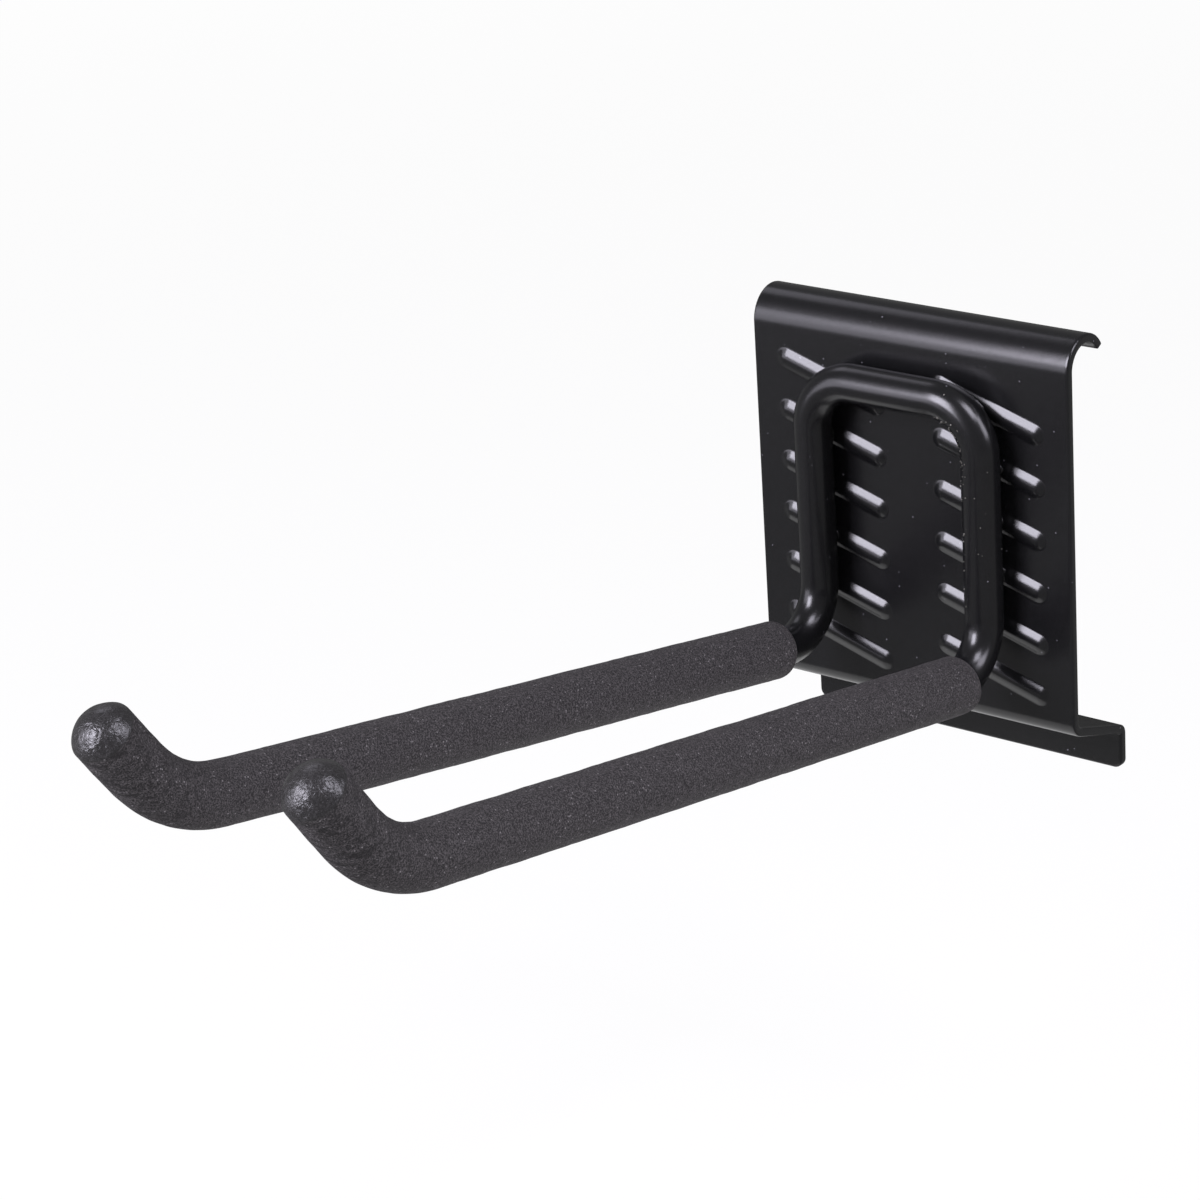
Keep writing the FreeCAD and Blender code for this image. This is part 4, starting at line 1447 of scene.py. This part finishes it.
@dataclass
class Studio:
    """Camera, soft lamps, a pale floor, a white surround, and cards for the gloss.

    The camera's azimuth runs from straight in front towards +x, and so do the cards'.
    """

    azimuth: float = 40.264
    elevation: float = 21.188
    roll: float = -3.743
    place: tuple[float, float, float] = (436.706, -634.42, 327.85)
    focal_mm: float = 118.338
    film_mm: float = 36.0
    sight_m: float = 20.0
    floor_height: float = -90.0
    floor_half: float = 3000.0
    floor_colour: str = "#e9e8e6"
    world_colour: str = "#ffffff"
    world_strength: float = 0.24
    near_white: float = 0.88
    fade: tuple[float, float] = (250.0, 1500.0)
    card_axis: tuple[float, float] = (-60.0, -20.0)
    card_hole: float = 120.0
    card_lift: float = 1.0
    grey_span: tuple[float, float] = (-110.0, 195.0)
    grey_level: float = 0.26
    black_span: tuple[float, float] = (195.0, 250.0)
    black_level: float = 0.02
    room_radius: float = 1400.0
    room_level: float = 0.2
    rise_steps: int = 17
    round_steps: int = 49
    lamps: list[Lamp] = field(
        default_factory=lambda: [
            Lamp("key_box", 19.0, 28.0, 450.0, 660.0, 14.0),
            Lamp("left_box", 42.0, 10.0, 640.0, 700.0, 2.3),
            Lamp("right_top_box", -82.0, 56.0, 480.0, 480.0, 8.0),
            Lamp("right_side_box", -103.0, 29.0, 480.0, 560.0, 5.5),
            Lamp("rear_top_box", 110.0, 48.0, 400.0, 400.0, 1.1),
        ]
    )

    def camera(self) -> bpy.types.Object:
        """Set up the camera at the photograph's angle.

        Returns:
            The new object.
        """
        azimuth, elevation, roll = map(math.radians, (self.azimuth, self.elevation, self.roll))
        level = math.cos(elevation)
        ray = [math.sin(azimuth) * level, -math.cos(azimuth) * level, math.sin(elevation)]
        back = np.array(ray)
        right = np.cross(Z_AXIS, back)
        right /= np.linalg.norm(right)
        up = np.cross(back, right)
        turned_right = math.cos(roll) * right + math.sin(roll) * up
        turned_up = math.cos(roll) * up - math.sin(roll) * right
        data = bpy.data.cameras.new("camera")
        data.sensor_width = self.film_mm
        data.lens = self.focal_mm
        data.clip_end = self.sight_m
        camera = add_object("camera", data)
        rows = np.stack([turned_right, turned_up, back], axis=1)
        matrix = Matrix(rows.tolist()).to_4x4()
        matrix.translation = Vector(self.place) * METRE
        camera.matrix_world = matrix
        bpy.context.scene.camera = camera
        return camera

    def surround(self) -> None:
        """Make the world white where it is seen and plain where it lights."""
        world = bpy.data.worlds.new("white_surround")
        bpy.context.scene.world = world
        world.use_nodes = True
        tree = world.node_tree
        tree.nodes.clear()
        seen = self.seen_ray(tree)
        strength = add_node(
            tree,
            "ShaderNodeMapRange",
            {"To Min": self.world_strength, "To Max": 1.0},
            {"Value": seen},
        )
        light = add_node(
            tree,
            "ShaderNodeBackground",
            {"Color": linear(self.world_colour)},
            {"Strength": strength.outputs["Result"]},
        )
        add_node(tree, "ShaderNodeOutputWorld", links={"Surface": light.outputs[0]})

    def seen_ray(self, tree: bpy.types.NodeTree) -> bpy.types.NodeSocket:
        """Tell the rays that look at the surround from those that light the object.

        Args:
            tree: the node tree that asks.

        Returns:
            A socket that is 1 for camera, glossy and transmission rays.
        """
        path = add_node(tree, "ShaderNodeLightPath")
        either = add_node(
            tree,
            "ShaderNodeMath",
            links={0: path.outputs["Is Camera Ray"], 1: path.outputs["Is Glossy Ray"]},
            operation="MAXIMUM",
        )
        return add_node(
            tree,
            "ShaderNodeMath",
            links={0: either.outputs[0], 1: path.outputs["Is Transmission Ray"]},
            operation="MAXIMUM",
        ).outputs[0]

    def floor(self) -> bpy.types.Object:
        """Lay the pale floor, which can be looked through from below.

        It keeps the object's shadow and turns plain white further out.

        Returns:
            The new object.
        """
        half, height = self.floor_half * METRE, self.floor_height * METRE
        mesh = bpy.data.meshes.new("floor")
        signs = ((-1, -1), (1, -1), (1, 1), (-1, 1))
        mesh.from_pydata([(x * half, y * half, height) for x, y in signs], [], [(0, 1, 2, 3)])
        material, tree = new_material("pale_floor")
        paint = add_node(tree, "ShaderNodeBsdfDiffuse", {"Color": linear(self.floor_colour)})
        white = add_node(tree, "ShaderNodeEmission", {"Strength": 1.0})
        clear = add_node(tree, "ShaderNodeBsdfTransparent")
        below = add_node(tree, "ShaderNodeNewGeometry").outputs["Backfacing"]
        place = add_node(tree, "ShaderNodeTexCoord").outputs["Object"]
        away = add_node(tree, "ShaderNodeVectorMath", links={0: place}, operation="LENGTH")
        share = add_node(
            tree,
            "ShaderNodeMapRange",
            {
                "From Min": self.fade[0] * METRE,
                "From Max": self.fade[1] * METRE,
                "To Min": self.near_white,
                "To Max": 1.0,
            },
            {"Value": away.outputs["Value"]},
        )
        lit = add_node(
            tree,
            "ShaderNodeMixShader",
            links={0: share.outputs["Result"], 1: paint.outputs[0], 2: white.outputs[0]},
        )
        seen = add_node(
            tree,
            "ShaderNodeMixShader",
            links={0: self.seen_ray(tree), 1: paint.outputs[0], 2: lit.outputs[0]},
        )
        through = add_node(
            tree,
            "ShaderNodeMixShader",
            links={0: below, 1: seen.outputs[0], 2: clear.outputs[0]},
        )
        add_node(tree, "ShaderNodeOutputMaterial", links={"Surface": through.outputs[0]})
        mesh.materials.append(material)
        floor = add_object("floor", mesh)
        return floor

    def for_gloss(self, name: str, grid: np.ndarray, level: float) -> bpy.types.Object:
        """Stand a plain glowing surface on the stage, which only the gloss sees.

        Args:
            name: the surface's name.
            grid: its points in millimetres, rows by columns by 3.
            level: its brightness, where 1 is white.

        Returns:
            The new object.
        """
        faces = grid_faces(*grid.shape[:2])
        mesh = bpy.data.meshes.new(name)
        mesh.from_pydata((grid.reshape(-1, 3) * METRE).tolist(), [], faces.tolist())
        material, tree = new_material(name)
        glow = add_node(tree, "ShaderNodeEmission", {"Strength": level})
        add_node(tree, "ShaderNodeOutputMaterial", links={"Surface": glow.outputs[0]})
        mesh.materials.append(material)
        surface = add_object(name, mesh)
        surface.visible_camera = surface.visible_diffuse = surface.visible_shadow = False
        surface.visible_transmission = surface.visible_volume_scatter = False
        return surface

    def turned_round(
        self, radius: np.ndarray, height: np.ndarray, span: tuple[float, float]
    ) -> np.ndarray:
        """Carry a profile round an upright axis beside the object.

        Formula: (r sin(a), -r cos(a), height) from the axis, for angles over the span.

        Args:
            radius: distance of each point of the profile from the axis.
            height: height of each point.
            span: first and last angle in degrees, from straight in front.

        Returns:
            A grid of points.
        """
        angle = np.radians(np.linspace(*span, self.round_steps))[None, :]
        x = self.card_axis[0] + radius[:, None] * np.sin(angle)
        y = self.card_axis[1] - radius[:, None] * np.cos(angle)
        return np.stack([x, y, height[:, None] * np.ones_like(angle)], axis=-1)

    def cards(self) -> list[bpy.types.Object]:
        """Lay cards on the floor, grey with a black one behind, and darken the room.

        Black gloss mirrors them instead of a white studio. They leave the white floor
        bare near the object. The room is half a ball over them.

        Returns:
            The new objects.
        """
        reach = np.array([self.card_hole, self.room_radius])
        low = np.full(2, self.floor_height + self.card_lift)
        rise = np.linspace(0, math.pi / 2, self.rise_steps)
        wide = self.room_radius * np.cos(rise)
        high = self.floor_height + self.room_radius * np.sin(rise)
        grey = self.turned_round(reach, low, self.grey_span)
        black = self.turned_round(reach, low, self.black_span)
        room = self.turned_round(wide, high, (0, 360))
        return [
            self.for_gloss("grey_card", grey, self.grey_level),
            self.for_gloss("black_card", black, self.black_level),
            self.for_gloss("dark_room", room, self.room_level),
        ]

    def build(self) -> None:
        """Set the whole stage."""
        self.camera()
        self.surround()
        self.floor()
        self.cards()
        for lamp in self.lamps:
            lamp.build()
        bpy.context.scene.view_settings.view_transform = "Standard"


def report(piece: bpy.types.Object) -> None:
    """Log a piece's name and number of faces."""
    LOG.info("%s: %d faces", piece.name, len(piece.data.polygons))


def main() -> None:
    """Build the stage and the pieces in order, and note both boxes."""
    logging.basicConfig(level=logging.INFO, format="%(name)s %(message)s")
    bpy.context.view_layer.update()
    coat, foam, formed = PowderCoat().make(), FoamSkin().make(), FoamSkin.hot_formed().make()
    Studio().build()

    low, high = (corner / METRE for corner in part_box("back_plate"))
    plate = BackPlate(low, high)
    report(plate.build(coat))
    rod_low, rod_high = (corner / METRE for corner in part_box("hook_rod"))
    radius = HookRod.radius
    rod = HookRod(depth=radius - rod_high.y, top=rod_high.z - radius)
    report(rod.build(coat))
    for piece in Welds(plate, rod).build(coat, SpatterSteel().make()):
        report(piece)
    report(FoamSleeve(Side.RIGHT, rod).build(foam, formed))
    # The left sleeve was cut a little shorter than the right one.
    report(FoamSleeve(Side.LEFT, rod, shorter=5.2, tip_cut=1.4).build(foam, formed))


if __name__ == "__main__":
    main()
